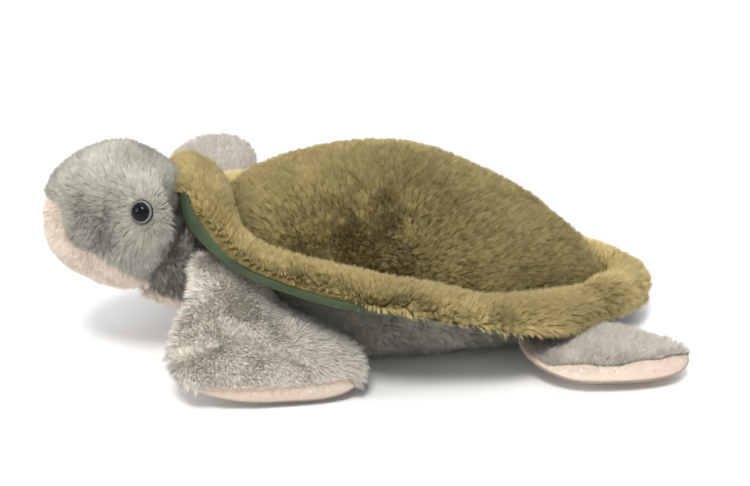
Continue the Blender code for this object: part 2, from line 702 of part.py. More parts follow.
def make_flipper(name, spec, side, mats):
    sides = 22
    outline = closed_curve_through(spec["outline"], sides)
    middle = np.array(spec["centre"])
    hx, hy, hz = spec["hinge"]
    slope = math.radians(spec["slope"])
    origin = np.array([hx, side * hy, hz])
    along = np.array([1.0, 0, 0])
    outward = np.array([0, side * math.cos(slope), -math.sin(slope)])
    normal = np.array([0, side * math.sin(slope), math.cos(slope)])

    def place(flat, height):
        # near the hinge the pad is round about the hinge line
        q = flat[..., 1]
        limit = np.sqrt(np.maximum(ROOT_R**2 - np.minimum(q, 0) ** 2, 1e-8))
        height = np.where(q < 0, np.minimum(height, limit), height)
        return (origin + along * flat[..., :1] + outward * flat[..., 1:2]
                + normal * height[..., None])

    def surface(inset, upper, steps, thin):
        loop = offset_loop(outline, inset) if inset else outline
        rings = []
        for r in steps:
            flat = middle + r * (loop - middle)
            h = pad_height(np.full(len(flat), r), spec["thick"] - thin, GAP / 2)
            rings.append(place(flat, h if upper else -h))
        return np.array(rings)

    steps = (0.0, 0.42, 0.74, 0.93, 1.0)
    for label, upper, mat in (("top", True, "grey"), ("bottom", False, "pale")):
        outer = surface(0.0, upper, steps, 0.0)
        inner = surface(PILE, upper, steps, PILE)
        skin_piece(f"{name}_{label}", outer, inner, mats[mat], ends=(False, True))
    up = surface(PILE + SLACK, True, steps, PILE + SLACK)
    down = surface(PILE + SLACK, False, steps, PILE + SLACK)[::-1]
    solid_piece(f"{name}_fill", np.concatenate([up, down]), mats["fibre"])


def hang(name, at, pieces):
    """An empty on a joint's axis, holding the pieces that move with it."""
    empty = bpy.data.objects.new(name, None)
    empty.empty_display_size = 0.02
    place = Vector(at) + Vector(CENTRE_SHIFT)
    empty.location = place
    bpy.context.collection.objects.link(empty)
    for piece in pieces:
        obj = bpy.data.objects[piece]
        obj.parent = empty
        obj.matrix_parent_inverse = Matrix.Translation(-place)
    return empty


def main():
    clear_scene()
    mats = {
        "shell": material("shell_plush", SHELL_GREEN, 0.95),
        "grey": material("grey_plush", FUR_GREY, 0.95),
        "pale": material("pale_plush", FUR_PALE, 0.95),
        "lining": material("lining_fabric", LINING_GREEN, 0.55),
        "fibre": material("fibre_fill", FIBRE_WHITE, 1.0),
        "eye": material("eye_plastic", EYE_DARK, 0.08),
        "washer": material("washer_plastic", WASHER_WHITE, 0.45),
    }
    make_shell(mats)
    make_body(mats)
    make_neck(mats)
    head, fill, centre = make_head(mats)
    make_eyes(mats, head, fill, centre)
    make_flipper("flipper_front_left", FRONT_LEFT, -1, mats)
    make_flipper("flipper_front_right", FRONT_RIGHT, 1, mats)
    make_flipper("flipper_rear_left", REAR, -1, mats)
    make_flipper("flipper_rear_right", REAR_RIGHT, 1, mats)

    # every moving body hangs on its own seam; the head hangs on the neck
    neck = hang("axis_neck", (NOD[0], 0, NOD[1]), ["neck_cover", "throat_panel", "neck_fill"])
    turn = hang("axis_head", (HEAD_C[0], 0, HEAD_C[1]),
                ["head_cover", "chin_panel", "head_fill", "eye_left", "eye_right",
                 "eye_washer_left", "eye_washer_right"])
    turn.parent = neck
    turn.matrix_parent_inverse = Matrix.Translation(-neck.location)
    for where, spec, side in (("front_left", FRONT_LEFT, -1), ("front_right", FRONT_RIGHT, 1),
                              ("rear_left", REAR, -1), ("rear_right", REAR_RIGHT, 1)):
        hx, hy, hz = spec["hinge"]
        hang("axis_" + where, (hx, side * hy, hz),
             [f"flipper_{where}_{part}" for part in ("top", "bottom", "fill")])


main()
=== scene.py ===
"""Looks of the plush sea turtle: stuffed skins, standing pile, eyes, lining.

The working frame is part.py's: metres, head towards -X, the turtle's left side
towards -Y, and SHIFT moves it into the row frame.  Every stuffed cushion is a
closed mesh a few millimetres under the CAD surface, and the pile that grows on
it is made of closed tapering tufts, so that the tips end at the CAD surface.
"""

import math

import bpy
import numpy as np
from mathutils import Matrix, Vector, kdtree


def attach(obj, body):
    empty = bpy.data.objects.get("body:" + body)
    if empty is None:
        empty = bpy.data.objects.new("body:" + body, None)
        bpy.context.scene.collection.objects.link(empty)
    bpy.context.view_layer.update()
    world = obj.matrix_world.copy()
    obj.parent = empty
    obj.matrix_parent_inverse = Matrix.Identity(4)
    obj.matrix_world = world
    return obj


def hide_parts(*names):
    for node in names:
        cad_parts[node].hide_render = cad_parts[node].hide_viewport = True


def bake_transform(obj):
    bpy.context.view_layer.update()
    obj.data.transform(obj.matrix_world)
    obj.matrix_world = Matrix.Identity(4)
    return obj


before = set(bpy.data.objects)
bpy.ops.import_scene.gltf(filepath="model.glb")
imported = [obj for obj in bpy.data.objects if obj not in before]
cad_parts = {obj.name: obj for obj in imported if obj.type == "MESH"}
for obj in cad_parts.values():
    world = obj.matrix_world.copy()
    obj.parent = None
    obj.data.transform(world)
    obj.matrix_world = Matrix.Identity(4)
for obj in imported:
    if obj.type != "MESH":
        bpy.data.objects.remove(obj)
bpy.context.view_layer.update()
SHIFT = np.array((0.02739, -0.01897, 0.0))

# ------------------------------------------------------- dimensions of part.py
RIM_EDGE = [
    (-0.1385, 0.000, 0.1145), (-0.1392, 0.026, 0.1135), (-0.1370, 0.0485, 0.1040),
    (-0.1150, 0.0725, 0.0825), (-0.0870, 0.0945, 0.0738), (-0.0530, 0.1110, 0.0668),
    (-0.0130, 0.1205, 0.0605), (0.0270, 0.1195, 0.0490), (0.0640, 0.1080, 0.0385),
    (0.0980, 0.0815, 0.0290), (0.1280, 0.0535, 0.0230), (0.1535, 0.0265, 0.0185),
    (0.1635, 0.000, 0.0168),
]
DOME_SEAM = [
    (-0.1040, 0.000, 0.0945), (-0.1050, 0.019, 0.0940), (-0.1030, 0.037, 0.0915),
    (-0.0930, 0.053, 0.0875), (-0.0700, 0.067, 0.0830), (-0.0430, 0.077, 0.0775),
    (-0.0110, 0.082, 0.0690), (0.0230, 0.082, 0.0592), (0.0540, 0.0725, 0.0512),
    (0.0830, 0.0530, 0.0442), (0.1090, 0.034, 0.0388), (0.1270, 0.0170, 0.0348),
    (0.1340, 0.000, 0.0335),
]
DOME_CENTRE = (-0.005, 0.1250)
DOME_TOP = 0.1222       # the crown here, a little lower, because the pile stands proud
RIM_UP, RIM_DOWN = 0.0105, 0.0085
LINING_Z, LINING_FALL = 0.0600, 0.2270
BODY = [
    (-0.0920, 0.0490, 0.0030), (-0.0700, 0.0550, 0.0000), (-0.0350, 0.0620, 0.0000),
    (0.0050, 0.0650, 0.0000), (0.0420, 0.0600, 0.0000), (0.0740, 0.0500, 0.0000),
    (0.0990, 0.0360, 0.0030), (0.1140, 0.0210, 0.0080), (0.1190, 0.0050, 0.0135),
]
BODY_FRONT = (0.0420, 0.0130)
NOD = (-0.0750, 0.0500)
NOD_R = 0.0450
HEAD_C = (-0.1680, 0.0790)
HEAD_R = 0.0390
HEAD = [
    (-0.2195, 0.0020, 0.0930, 0.0890), (-0.2165, 0.0135, 0.1080, 0.0740),
    (-0.2080, 0.0235, 0.1215, 0.0625), (-0.1945, 0.0320, 0.1305, 0.0530),
    (-0.1800, 0.0385, 0.1350, 0.0475), (-0.1650, 0.0430, 0.1345, 0.0450),
    (-0.1510, 0.0440, 0.1265, 0.0442), (-0.1405, 0.0405, 0.1165, 0.0468),
    (-0.1335, 0.0310, 0.1040, 0.0570), (-0.1300, 0.0040, 0.0870, 0.0740),
]
CHIN_SEAM = [
    (-0.2600, 0.1060), (-0.2175, 0.1060), (-0.2085, 0.1040), (-0.2058, 0.0960),
    (-0.2045, 0.0875), (-0.1985, 0.0820), (-0.1860, 0.0770), (-0.1690, 0.0650),
    (-0.1510, 0.0455), (-0.1300, 0.0200),
]
EYE_AT = (-0.1637, 0.1065)
EYE_TURN_DEG, EYE_RISE_DEG = 32.0, 19.0
EYE_SEAT, EYE_R, EYE_DOME = -0.0008, 0.0078, 0.0042
FRONT_LEFT = dict(
    hinge=(-0.1190, 0.0550, 0.0630), slope=52.0, thick=0.0115, centre=(0.0180, 0.0330),
    outline=[
        (-0.0150, -0.0180), (-0.0195, 0.0060), (-0.0292, 0.0220), (-0.0355, 0.0370),
        (-0.0335, 0.0510), (-0.0255, 0.0610), (-0.0120, 0.0680), (0.0080, 0.0725),
        (0.0290, 0.0740), (0.0490, 0.0745), (0.0650, 0.0720), (0.0750, 0.0655),
        (0.0780, 0.0570), (0.0740, 0.0455), (0.0620, 0.0355), (0.0470, 0.0275),
        (0.0340, 0.0180), (0.0250, 0.0080), (0.0190, -0.0165), (0.0020, -0.0190),
    ],
)
FRONT_RIGHT = dict(
    hinge=(-0.1190, 0.0550, 0.0580), slope=-12.0, thick=0.0095, centre=(0.0120, 0.0620),
    outline=[
        (-0.0190, -0.0095), (-0.0215, 0.0100), (-0.0220, 0.0330), (-0.0180, 0.0570),
        (-0.0100, 0.0790), (0.0000, 0.0970), (0.0130, 0.1080), (0.0270, 0.1110),
        (0.0400, 0.1060), (0.0480, 0.0930), (0.0490, 0.0760), (0.0430, 0.0580),
        (0.0330, 0.0400), (0.0250, 0.0230), (0.0200, 0.0080), (0.0180, -0.0095),
        (0.0000, -0.0110),
    ],
)
REAR = dict(
    hinge=(0.0830, 0.0660, 0.0185), slope=9.0, thick=0.0100, centre=(0.0200, 0.0290),
    outline=[
        (-0.0210, -0.0080), (-0.0265, 0.0080), (-0.0255, 0.0250), (-0.0180, 0.0410),
        (-0.0050, 0.0530), (0.0120, 0.0580), (0.0300, 0.0600), (0.0470, 0.0595),
        (0.0610, 0.0560), (0.0705, 0.0470), (0.0740, 0.0370), (0.0680, 0.0270),
        (0.0560, 0.0170), (0.0430, 0.0070), (0.0290, -0.0010), (0.0160, -0.0080),
        (-0.0030, -0.0095),
    ],
)
REAR_RIGHT = dict(REAR, centre=(-0.0010, 0.0340), outline=[
    (-0.0210, -0.0080), (-0.0265, 0.0080), (-0.0300, 0.0240), (-0.0330, 0.0400),
    (-0.0320, 0.0560), (-0.0255, 0.0690), (-0.0140, 0.0765), (-0.0010, 0.0760),
    (0.0100, 0.0690), (0.0180, 0.0590), (0.0255, 0.0470), (0.0310, 0.0340),
    (0.0330, 0.0210), (0.0310, 0.0100), (0.0250, 0.0000), (0.0160, -0.0080),
    (-0.0030, -0.0095),
])
ROOT_R = 0.0105
FLOOR_GAP = 0.0004


# ------------------------------------------------------------------ small maths
def curve_through(points, count):
    pts = np.asarray(points, float)
    n = len(pts)
    slope = np.zeros_like(pts)
    slope[1:-1] = (pts[2:] - pts[:-2]) / 2
    slope[0] = pts[1] - pts[0]
    slope[-1] = pts[-1] - pts[-2]
    t = np.linspace(0, n - 1, count)
    i = np.minimum(t.astype(int), n - 2)
    u = (t - i)[:, None]
    h00, h10 = 2 * u**3 - 3 * u**2 + 1, u**3 - 2 * u**2 + u
    h01, h11 = -2 * u**3 + 3 * u**2, u**3 - u**2
    return h00 * pts[i] + h10 * slope[i] + h01 * pts[i + 1] + h11 * slope[i + 1]


def closed_curve_through(points, count):
    pts = np.asarray(points, float)
    n = len(pts)
    fine = []
    for i in range(n):
        p0, p1, p2, p3 = pts[i - 1], pts[i], pts[(i + 1) % n], pts[(i + 2) % n]
        for u in np.linspace(0, 1, 12, endpoint=False):
            fine.append(0.5 * (2 * p1 + (p2 - p0) * u + (2 * p0 - 5 * p1 + 4 * p2 - p3) * u**2
                               + (3 * p1 - p0 - 3 * p2 + p3) * u**3))
    fine = np.array(fine + fine[:1])
    run = np.concatenate([[0], np.cumsum(np.linalg.norm(np.diff(fine, axis=0), axis=1))])
    at = np.linspace(0, run[-1], count, endpoint=False)
    return np.stack([np.interp(at, run, fine[:, k]) for k in range(2)], axis=1)


def offset_loop(loop, distance):
    loop = np.asarray(loop, float)
    ahead, behind = np.roll(loop, -1, axis=0), np.roll(loop, 1, axis=0)
    tangent = ahead - behind
    tangent /= np.linalg.norm(tangent, axis=1)[:, None]
    normal = np.stack([-tangent[:, 1], tangent[:, 0]], axis=1)
    area = 0.5 * np.sum(loop[:, 0] * ahead[:, 1] - ahead[:, 0] * loop[:, 1])
    return loop + normal * distance * (1 if area > 0 else -1)


def unit(a):
    return a / np.maximum(np.linalg.norm(a, axis=-1, keepdims=True), 1e-12)


def smooth01(x, a, b):
    t = np.clip((x - a) / (b - a), 0, 1)
    return t * t * (3 - 2 * t)


def hash_unit(ix, iy, iz, seed):
    mask = np.int64(0xFFFFFFFF)
    n = (ix * 73856093) ^ (iy * 19349663) ^ (iz * 83492791) ^ np.int64(seed * 374761393)
    n = n & mask
    n = ((n ^ (n >> 15)) * 668265263) & mask
    n = ((n ^ (n >> 13)) * 461845907) & mask
    n = n ^ (n >> 16)
    return n.astype(float) / 2147483647.5 - 1.0


def noise(p, size, seed=0):
    """Smooth value noise from -1 to 1 at points p, with cells of the given size."""
    q = p / size + 31.7 + seed * 7.13
    i = np.floor(q).astype(np.int64)
    f = q - i
    f = f * f * f * (f * (f * 6 - 15) + 10)
    total = np.zeros(len(p))
    for dx in (0, 1):
        for dy in (0, 1):
            for dz in (0, 1):
                w = (f[:, 0] if dx else 1 - f[:, 0]) * (f[:, 1] if dy else 1 - f[:, 1]) \
                    * (f[:, 2] if dz else 1 - f[:, 2])
                total += w * hash_unit(i[:, 0] + dx, i[:, 1] + dy, i[:, 2] + dz, seed)
    return total


def noise_vec(p, size, seed):
    return np.stack([noise(p, size, seed + k) for k in range(3)], axis=1)


# --------------------------------------------------------------------- meshes
def mesh_object(name, verts, tris, mats, uv=None, face_mat=None, normals=None):
    """An object from numpy points and triangles, moved into the row frame."""
    mesh = bpy.data.meshes.new(name)
    verts = np.asarray(verts, np.float32) + SHIFT.astype(np.float32)
    tris = np.asarray(tris, np.int32)
    mesh.vertices.add(len(verts))
    mesh.vertices.foreach_set("co", verts.ravel())
    mesh.loops.add(tris.size)
    mesh.loops.foreach_set("vertex_index", tris.ravel())
    mesh.polygons.add(len(tris))
    mesh.polygons.foreach_set("loop_start", np.arange(0, tris.size, 3, dtype=np.int32))
    for mat in mats:
        mesh.materials.append(mat)
    if face_mat is not None:
        mesh.polygons.foreach_set("material_index", np.asarray(face_mat, np.int32))
    if uv is not None:
        layer = mesh.uv_layers.new(name="OFBake")
        layer.uv.foreach_set("vector", np.asarray(uv, np.float32)[tris.ravel()].ravel())
    mesh.update(calc_edges=True)
    mesh.validate(clean_customdata=False)
    mesh.shade_smooth()
    if normals is not None:
        mesh.normals_split_custom_set_from_vertices(np.asarray(normals, np.float32))
    obj = bpy.data.objects.new(name, mesh)
    bpy.context.scene.collection.objects.link(obj)
    return obj


def grid_tris(rings, sides, wrap=True, start=0):
    i = np.arange(rings - 1)[:, None]
    j = np.arange(sides if wrap else sides - 1)[None, :]
    k = (j + 1) % sides
    a, b = i * sides + j, i * sides + k
    first = np.stack([a, b, b + sides], axis=-1).reshape(-1, 3)
    second = np.stack([a, b + sides, a + sides], axis=-1).reshape(-1, 3)
    return np.concatenate([first, second]) + start


def weld(verts, tris):
    """Merges points that lie together, and drops triangles with no area."""
    _, index, back = np.unique(np.round(verts, 6), axis=0, return_index=True,
                               return_inverse=True)
    tris = back.reshape(-1)[tris]
    keep = (tris[:, 0] != tris[:, 1]) & (tris[:, 1] != tris[:, 2]) & (tris[:, 0] != tris[:, 2])
    return verts[index], tris[keep]


def face_out(verts, tris):
    """Turns the triangles of a closed mesh outwards."""
    a, b, c = (verts[tris[:, k]] for k in range(3))
    if np.einsum("ij,ij->i", a, np.cross(b, c)).sum() < 0:
        tris = tris[:, ::-1]
    return tris


def closed_grid(grid):
    """A closed mesh from rings that start and end in a point or a flat cap."""
    rings, sides = grid.shape[:2]
    verts = grid.reshape(-1, 3)
    tris = grid_tris(rings, sides)
    extra_v, extra_t = [], []
    for ring in (0, rings - 1):
        if np.ptp(grid[ring], axis=0).max() > 1e-5:
            n = len(verts) + len(extra_v)
            extra_v.append(grid[ring].mean(axis=0))
            j = np.arange(sides)
            pair = [ring * sides + j, ring * sides + (j + 1) % sides]
            if ring == 0:
                pair = pair[::-1]
            extra_t.append(np.stack([pair[0], pair[1], np.full(sides, n)], axis=1))
    if extra_v:
        verts = np.concatenate([verts, np.array(extra_v)])
        tris = np.concatenate([tris] + extra_t)
    verts, tris = weld(verts, tris)
    return verts, face_out(verts, tris)


def vertex_normals(verts, tris):
    a, b, c = (verts[tris[:, k]] for k in range(3))
    face = np.cross(b - a, c - a)
    out = np.zeros_like(verts)
    for k in range(3):
        np.add.at(out, tris[:, k], face)
    return unit(out)


class Skin:
    """A surface that pile grows on, in the working frame."""

    def __init__(self, verts, tris):
        self.verts, self.tris = np.asarray(verts, float), np.asarray(tris)
        self.normals = vertex_normals(self.verts, self.tris)
        a, b, c = (self.verts[self.tris[:, k]] for k in range(3))
        self.area = np.linalg.norm(np.cross(b - a, c - a), axis=1) / 2
        self.middle = (a + b + c) / 3
        self.face_normal = unit(np.cross(b - a, c - a))

    def scatter(self, per_mm2, rng, mask=None):
        """Random points on the surface with their normals, denser where mask,
        from 0 to 1 on each triangle's middle, is higher."""
        area = self.area * (mask if mask is not None else 1.0)
        count = int(area.sum() * 1e6 * per_mm2)
        edge = np.cumsum(area)
        at = (np.arange(count) + rng.random(count)) / count * edge[-1]
        tri = self.tris[np.minimum(np.searchsorted(edge, at), len(area) - 1)]
        r, s = rng.random(count), rng.random(count)
        r = np.sqrt(r)
        w = np.stack([1 - r, r * (1 - s), r * s], axis=1)
        points = np.einsum("ij,ijk->ik", w, self.verts[tri])
        normals = unit(np.einsum("ij,ijk->ik", w, self.normals[tri]))
        return points, normals


def pile(name, skin, mats, *, per_mm2, length, width, seed, flow, mask=None, clump=0.0038,
         pull=0.5, lean_noise=0.35, patch=0.014, tone=None, segments=2, keep=None,
         length_at=None, spread=0.10, clump_noise=0.20, cloud=0.12, soft=0.0):
    """Closed tapering tufts standing on a skin. flow gives the lean, a vector at
    each root; length and width are metres. Returns a list of objects."""
    rng = np.random.default_rng(seed)
    roots, normals = skin.scatter(per_mm2, rng, mask)
    if keep is not None:
        ok = keep(roots, rng)
        roots, normals = roots[ok], normals[ok]
    count = len(roots)

    # clumps: each has a root, a direction and a length of its own
    homes, home_normals = skin.scatter(1e-6 / clump**2, rng, mask)
    home_dir = unit(home_normals + flow(homes, home_normals)
                    + noise_vec(homes, patch, seed) * lean_noise
                    + rng.normal(0, clump_noise, homes.shape))
    home_len = rng.uniform(0.85, 1.18, len(homes))
    home_tone = rng.normal(0, 1, len(homes))
    tree = kdtree.KDTree(len(homes))
    for i, h in enumerate(homes):
        tree.insert(h, i)
    tree.balance()
    mine = np.fromiter((tree.find(p)[1] for p in roots), int, count)

    reach = length * rng.uniform(0.78, 1.14, count) * home_len[mine]
    if length_at is not None:
        reach = reach * length_at(roots)
    own = unit(normals + flow(roots, normals) + noise_vec(roots, patch, seed) * lean_noise
               + rng.normal(0, spread, roots.shape))
    tips = roots + own * reach[:, None]
    to = homes[mine] + home_dir[mine] * reach[:, None]
    away = np.linalg.norm(homes[mine] - roots, axis=1)
    k = pull * rng.uniform(0.4, 1.2, count) * np.clip(1.6 - away / clump, 0, 1)
    tips = tips + (to - tips) * k[:, None]
    tips = roots + unit(tips - roots) * reach[:, None]
    # a tuft stands up first and then leans
    bend = roots + unit(normals * 0.75 + own) * (reach * 0.5)[:, None]

    ts = (0.0, 0.50, 1.0) if segments == 2 else (0.0, 1.0)
    line = [(1 - t) ** 2 * roots + 2 * t * (1 - t) * bend + t * t * tips for t in ts]
    line[0] = line[0] - normals * 0.0004
    # each tuft is a flattened wedge whose broad face looks out from the skin
    way = unit(tips - roots)
    out = normals + rng.normal(0, 0.15, roots.shape)
    out = unit(out - way * np.einsum("ij,ij->i", out, way)[:, None])
    side = np.cross(way, out)
    wide = width * rng.uniform(0.7, 1.3, count)
    corners = ((0.5, 0.0), (-0.5, 0.0), (0.0, -0.42))
    verts, along, slot, facing = [], [], [], []
    rings = len(ts) - 1
    for r in range(rings):
        size = wide * (1.0 if r == 0 else 0.80)
        for c, (e, f) in enumerate(corners):
            verts.append(line[r] + side * (e * size)[:, None] + out * (f * size)[:, None])
            facing.append(unit((out * (0.4 if f == 0 else -0.1) + side * (0.5 * e)) * (1 - soft)
                               + normals * 0.8))
            along.append(np.full(count, ts[r] + 0.006 * c))
            slot.append(np.full(count, c))
    verts.append(line[-1])
    facing.append(unit(out * 0.4 + normals * 0.8 + way * 0.2))
    along.append(np.full(count, 1.0))
    slot.append(np.full(count, 1))
    per = rings * 3 + 1
    verts = np.stack(verts, axis=1)
    verts[..., 2] = np.maximum(verts[..., 2], FLOOR_GAP)
    facing = np.stack(facing, axis=1)
    pattern = [(0, 1, 2)]
    for r in range(rings - 1):
        for c in range(3):
            d = (c + 1) % 3
            a, b = r * 3 + c, r * 3 + d
            pattern += [(b, a, a + 3), (b, a + 3, b + 3)]
    last = (rings - 1) * 3
    for c in range(3):
        pattern.append((last + (c + 1) % 3, last + c, per - 1))
    pattern = np.array(pattern)

    shade = 0.5 + 0.07 * home_tone[mine] + rng.normal(0, 0.06, count)
    shade = shade + cloud * noise(roots, 0.022, seed + 40)
    # tone(roots) adds the piece's own offsets, which on several pieces are painted light and shade
    if tone is not None:
        shade = shade + tone(roots)
    shade = np.clip(shade, 0.03, 0.95)
    uv = np.stack([shade[:, None] + 0.008 * np.stack(slot, axis=1),
                   np.clip(np.stack(along, axis=1), 0, 1)], axis=-1)
    made, most = [], 199000 // len(pattern)
    parts = max(1, math.ceil(count / most))
    for n, part in enumerate(np.array_split(np.arange(count), parts)):
        tris = (np.arange(len(part))[:, None, None] * per + pattern[None]).reshape(-1, 3)
        label = name if parts == 1 else f"{name}_{n + 1}"
        made.append(mesh_object(label, verts[part].reshape(-1, 3), tris, mats,
                                uv=uv[part].reshape(-1, 2), normals=facing[part].reshape(-1, 3)))
    return made


# ------------------------------------------------------------------ materials
def new_material(name):
    mat = bpy.data.materials.new(name)
    mat.use_nodes = True
    return mat, mat.node_tree, mat.node_tree.nodes["Principled BSDF"]


def pile_material(name, stops, low, high, roughness=0.85, sheen=0.25, tint=None):
    """Pile: colour runs from root to tip (V of the map), and each tuft's tone (U of the map) makes it
    darker or lighter; the tone is partly the tuft's own and, on some pieces, painted light and shade."""
    mat, tree, shader = new_material(name)
    nodes, links = tree.nodes, tree.links
    uv = nodes.new("ShaderNodeUVMap")
    uv.uv_map = "OFBake"
    split = nodes.new("ShaderNodeSeparateXYZ")
    links.new(uv.outputs["UV"], split.inputs[0])
    ramp = nodes.new("ShaderNodeValToRGB")
    ramp.color_ramp.interpolation = "EASE"
    while len(ramp.color_ramp.elements) < len(stops):
        ramp.color_ramp.elements.new(0.5)
    for element, (at, colour) in zip(ramp.color_ramp.elements, stops):
        element.position = at
        element.color = (*colour, 1)
    links.new(split.outputs["Y"], ramp.inputs["Fac"])
    tone = nodes.new("ShaderNodeValToRGB")
    tone.color_ramp.elements[0].position = 0.05
    tone.color_ramp.elements[0].color = (*low, 1)
    tone.color_ramp.elements[1].position = 0.95
    tone.color_ramp.elements[1].color = (*high, 1)
    links.new(split.outputs["X"], tone.inputs["Fac"])
    mix = nodes.new("ShaderNodeMix")
    mix.data_type = "RGBA"
    mix.blend_type = "MULTIPLY"
    mix.inputs["Factor"].default_value = 1.0
    links.new(ramp.outputs["Color"], mix.inputs[6])
    links.new(tone.outputs["Color"], mix.inputs[7])
    links.new(mix.outputs[2], shader.inputs["Base Color"])
    shader.inputs["Roughness"].default_value = roughness
    shader.inputs["Specular IOR Level"].default_value = 0.2
    shader.inputs["Sheen Weight"].default_value = sheen
    shader.inputs["Sheen Roughness"].default_value = 0.5
    if tint:
        shader.inputs["Sheen Tint"].default_value = (*tint, 1)
    return mat


def backing_material(name, dark, light, size):
    """The knitted backing and undercoat between the tufts."""
    mat, tree, shader = new_material(name)
    nodes, links = tree.nodes, tree.links
    place = nodes.new("ShaderNodeTexCoord")
    cells = nodes.new("ShaderNodeTexNoise")
    cells.inputs["Scale"].default_value = size
    cells.inputs["Detail"].default_value = 4.0
    links.new(place.outputs["Object"], cells.inputs["Vector"])
    ramp = nodes.new("ShaderNodeValToRGB")
    ramp.color_ramp.elements[0].position = 0.35
    ramp.color_ramp.elements[0].color = (*dark, 1)
    ramp.color_ramp.elements[1].position = 0.65
    ramp.color_ramp.elements[1].color = (*light, 1)
    links.new(cells.outputs["Fac"], ramp.inputs["Fac"])
    links.new(ramp.outputs["Color"], shader.inputs["Base Color"])
    bump = nodes.new("ShaderNodeBump")
    bump.inputs["Strength"].default_value = 0.6
    bump.inputs["Distance"].default_value = 0.0008
    links.new(cells.outputs["Fac"], bump.inputs["Height"])
    links.new(bump.outputs["Normal"], shader.inputs["Normal"])
    shader.inputs["Roughness"].default_value = 0.95
    shader.inputs["Specular IOR Level"].default_value = 0.15
    return mat


def lining_material():
    """Smooth dark green fabric with a fine weave and a soft sheen."""
    mat, tree, shader = new_material("lining_fabric")
    nodes, links = tree.nodes, tree.links
    place = nodes.new("ShaderNodeTexCoord")
    waves = []
    for direction in ("X", "Y"):
        wave = nodes.new("ShaderNodeTexWave")
        wave.bands_direction = direction
        wave.inputs["Scale"].default_value = 420.0
        wave.inputs["Distortion"].default_value = 0.6
        links.new(place.outputs["Object"], wave.inputs["Vector"])
        waves.append(wave)
    weave = nodes.new("ShaderNodeMath")
    weave.operation = "MULTIPLY"
    links.new(waves[0].outputs["Fac"], weave.inputs[0])
    links.new(waves[1].outputs["Fac"], weave.inputs[1])
    cloud = nodes.new("ShaderNodeTexNoise")
    cloud.inputs["Scale"].default_value = 38.0
    cloud.inputs["Detail"].default_value = 3.0
    links.new(place.outputs["Object"], cloud.inputs["Vector"])
    ramp = nodes.new("ShaderNodeValToRGB")
    ramp.color_ramp.elements[0].position = 0.3
    ramp.color_ramp.elements[0].color = (0.022, 0.036, 0.014, 1)
    ramp.color_ramp.elements[1].position = 0.7
    ramp.color_ramp.elements[1].color = (0.042, 0.066, 0.028, 1)
    links.new(cloud.outputs["Fac"], ramp.inputs["Fac"])
    links.new(ramp.outputs["Color"], shader.inputs["Base Color"])
    bump = nodes.new("ShaderNodeBump")
    bump.inputs["Strength"].default_value = 0.25
    bump.inputs["Distance"].default_value = 0.0003
    links.new(weave.outputs[0], bump.inputs["Height"])
    links.new(bump.outputs["Normal"], shader.inputs["Normal"])
    shader.inputs["Roughness"].default_value = 0.55
    shader.inputs["Specular IOR Level"].default_value = 0.25
    shader.inputs["Sheen Weight"].default_value = 0.04
    shader.inputs["Sheen Roughness"].default_value = 0.4
    shader.inputs["Sheen Tint"].default_value = (0.55, 0.85, 0.60, 1)
    return mat


def plastic_material(name, dark, light, roughness, coat=0.0, size=400.0, gloss=0.5):
    mat, tree, shader = new_material(name)
    nodes, links = tree.nodes, tree.links
    place = nodes.new("ShaderNodeTexCoord")
    cells = nodes.new("ShaderNodeTexNoise")
    cells.inputs["Scale"].default_value = size
    cells.inputs["Detail"].default_value = 2.0
    links.new(place.outputs["Object"], cells.inputs["Vector"])
    ramp = nodes.new("ShaderNodeValToRGB")
    ramp.color_ramp.elements[0].color = (*dark, 1)
    ramp.color_ramp.elements[1].color = (*light, 1)
    links.new(cells.outputs["Fac"], ramp.inputs["Fac"])
    links.new(ramp.outputs["Color"], shader.inputs["Base Color"])
    shader.inputs["Roughness"].default_value = roughness
    shader.inputs["Specular IOR Level"].default_value = gloss
    shader.inputs["Coat Weight"].default_value = coat
    shader.inputs["Coat Roughness"].default_value = 0.02
    return mat


OLIVE = pile_material(
    "shell_pile",
    [(0.0, (0.150, 0.113, 0.036)), (0.30, (0.255, 0.200, 0.072)),
     (0.65, (0.410, 0.331, 0.133)), (1.0, (0.530, 0.440, 0.200))],
    (0.52, 0.51, 0.49), (1.50, 1.48, 1.60), sheen=0.10, tint=(0.95, 0.88, 0.62))
# a warmer, lighter copy of the grey pile for the flippers; the extra lightness is painted light, standing
# in for light that the flippers' own tufts shade out
GREY_WARM_LIT = pile_material(
    "grey_pile_flippers_lit",
    [(0.0, (0.560, 0.520, 0.450)), (0.40, (0.700, 0.655, 0.575)),
     (0.75, (0.815, 0.768, 0.685)), (1.0, (0.870, 0.825, 0.745))],
    (0.52, 0.51, 0.49), (1.22, 1.22, 1.22), sheen=0.08, tint=(1.0, 0.96, 0.90))
GREY = pile_material(
    "grey_pile",
    [(0.0, (0.420, 0.400, 0.342)), (0.40, (0.560, 0.536, 0.464)),
     (0.75, (0.690, 0.665, 0.585)), (1.0, (0.770, 0.748, 0.668))],
    (0.50, 0.50, 0.48), (1.16, 1.16, 1.16), sheen=0.08, tint=(1.0, 0.98, 0.92))
PALE = pile_material(
    "pale_pile",
    [(0.0, (0.890, 0.730, 0.610)), (0.5, (0.950, 0.800, 0.680)), (1.0, (0.985, 0.860, 0.750))],
    (0.80, 0.775, 0.75), (1.05, 1.05, 1.05), sheen=0.10, tint=(1.0, 0.93, 0.87))
OLIVE_BACK = backing_material("shell_backing", (0.115, 0.090, 0.034), (0.215, 0.172, 0.068), 240)
GREY_BACK = backing_material("grey_backing", (0.340, 0.322, 0.275), (0.480, 0.455, 0.390), 240)
PALE_BACK = backing_material("pale_backing", (0.770, 0.655, 0.558), (0.830, 0.710, 0.610), 240)
GREEN = lining_material()
PUPIL = plastic_material("eye_pupil", (0.0015, 0.0015, 0.002), (0.003, 0.003, 0.0035), 0.05, gloss=0.16)
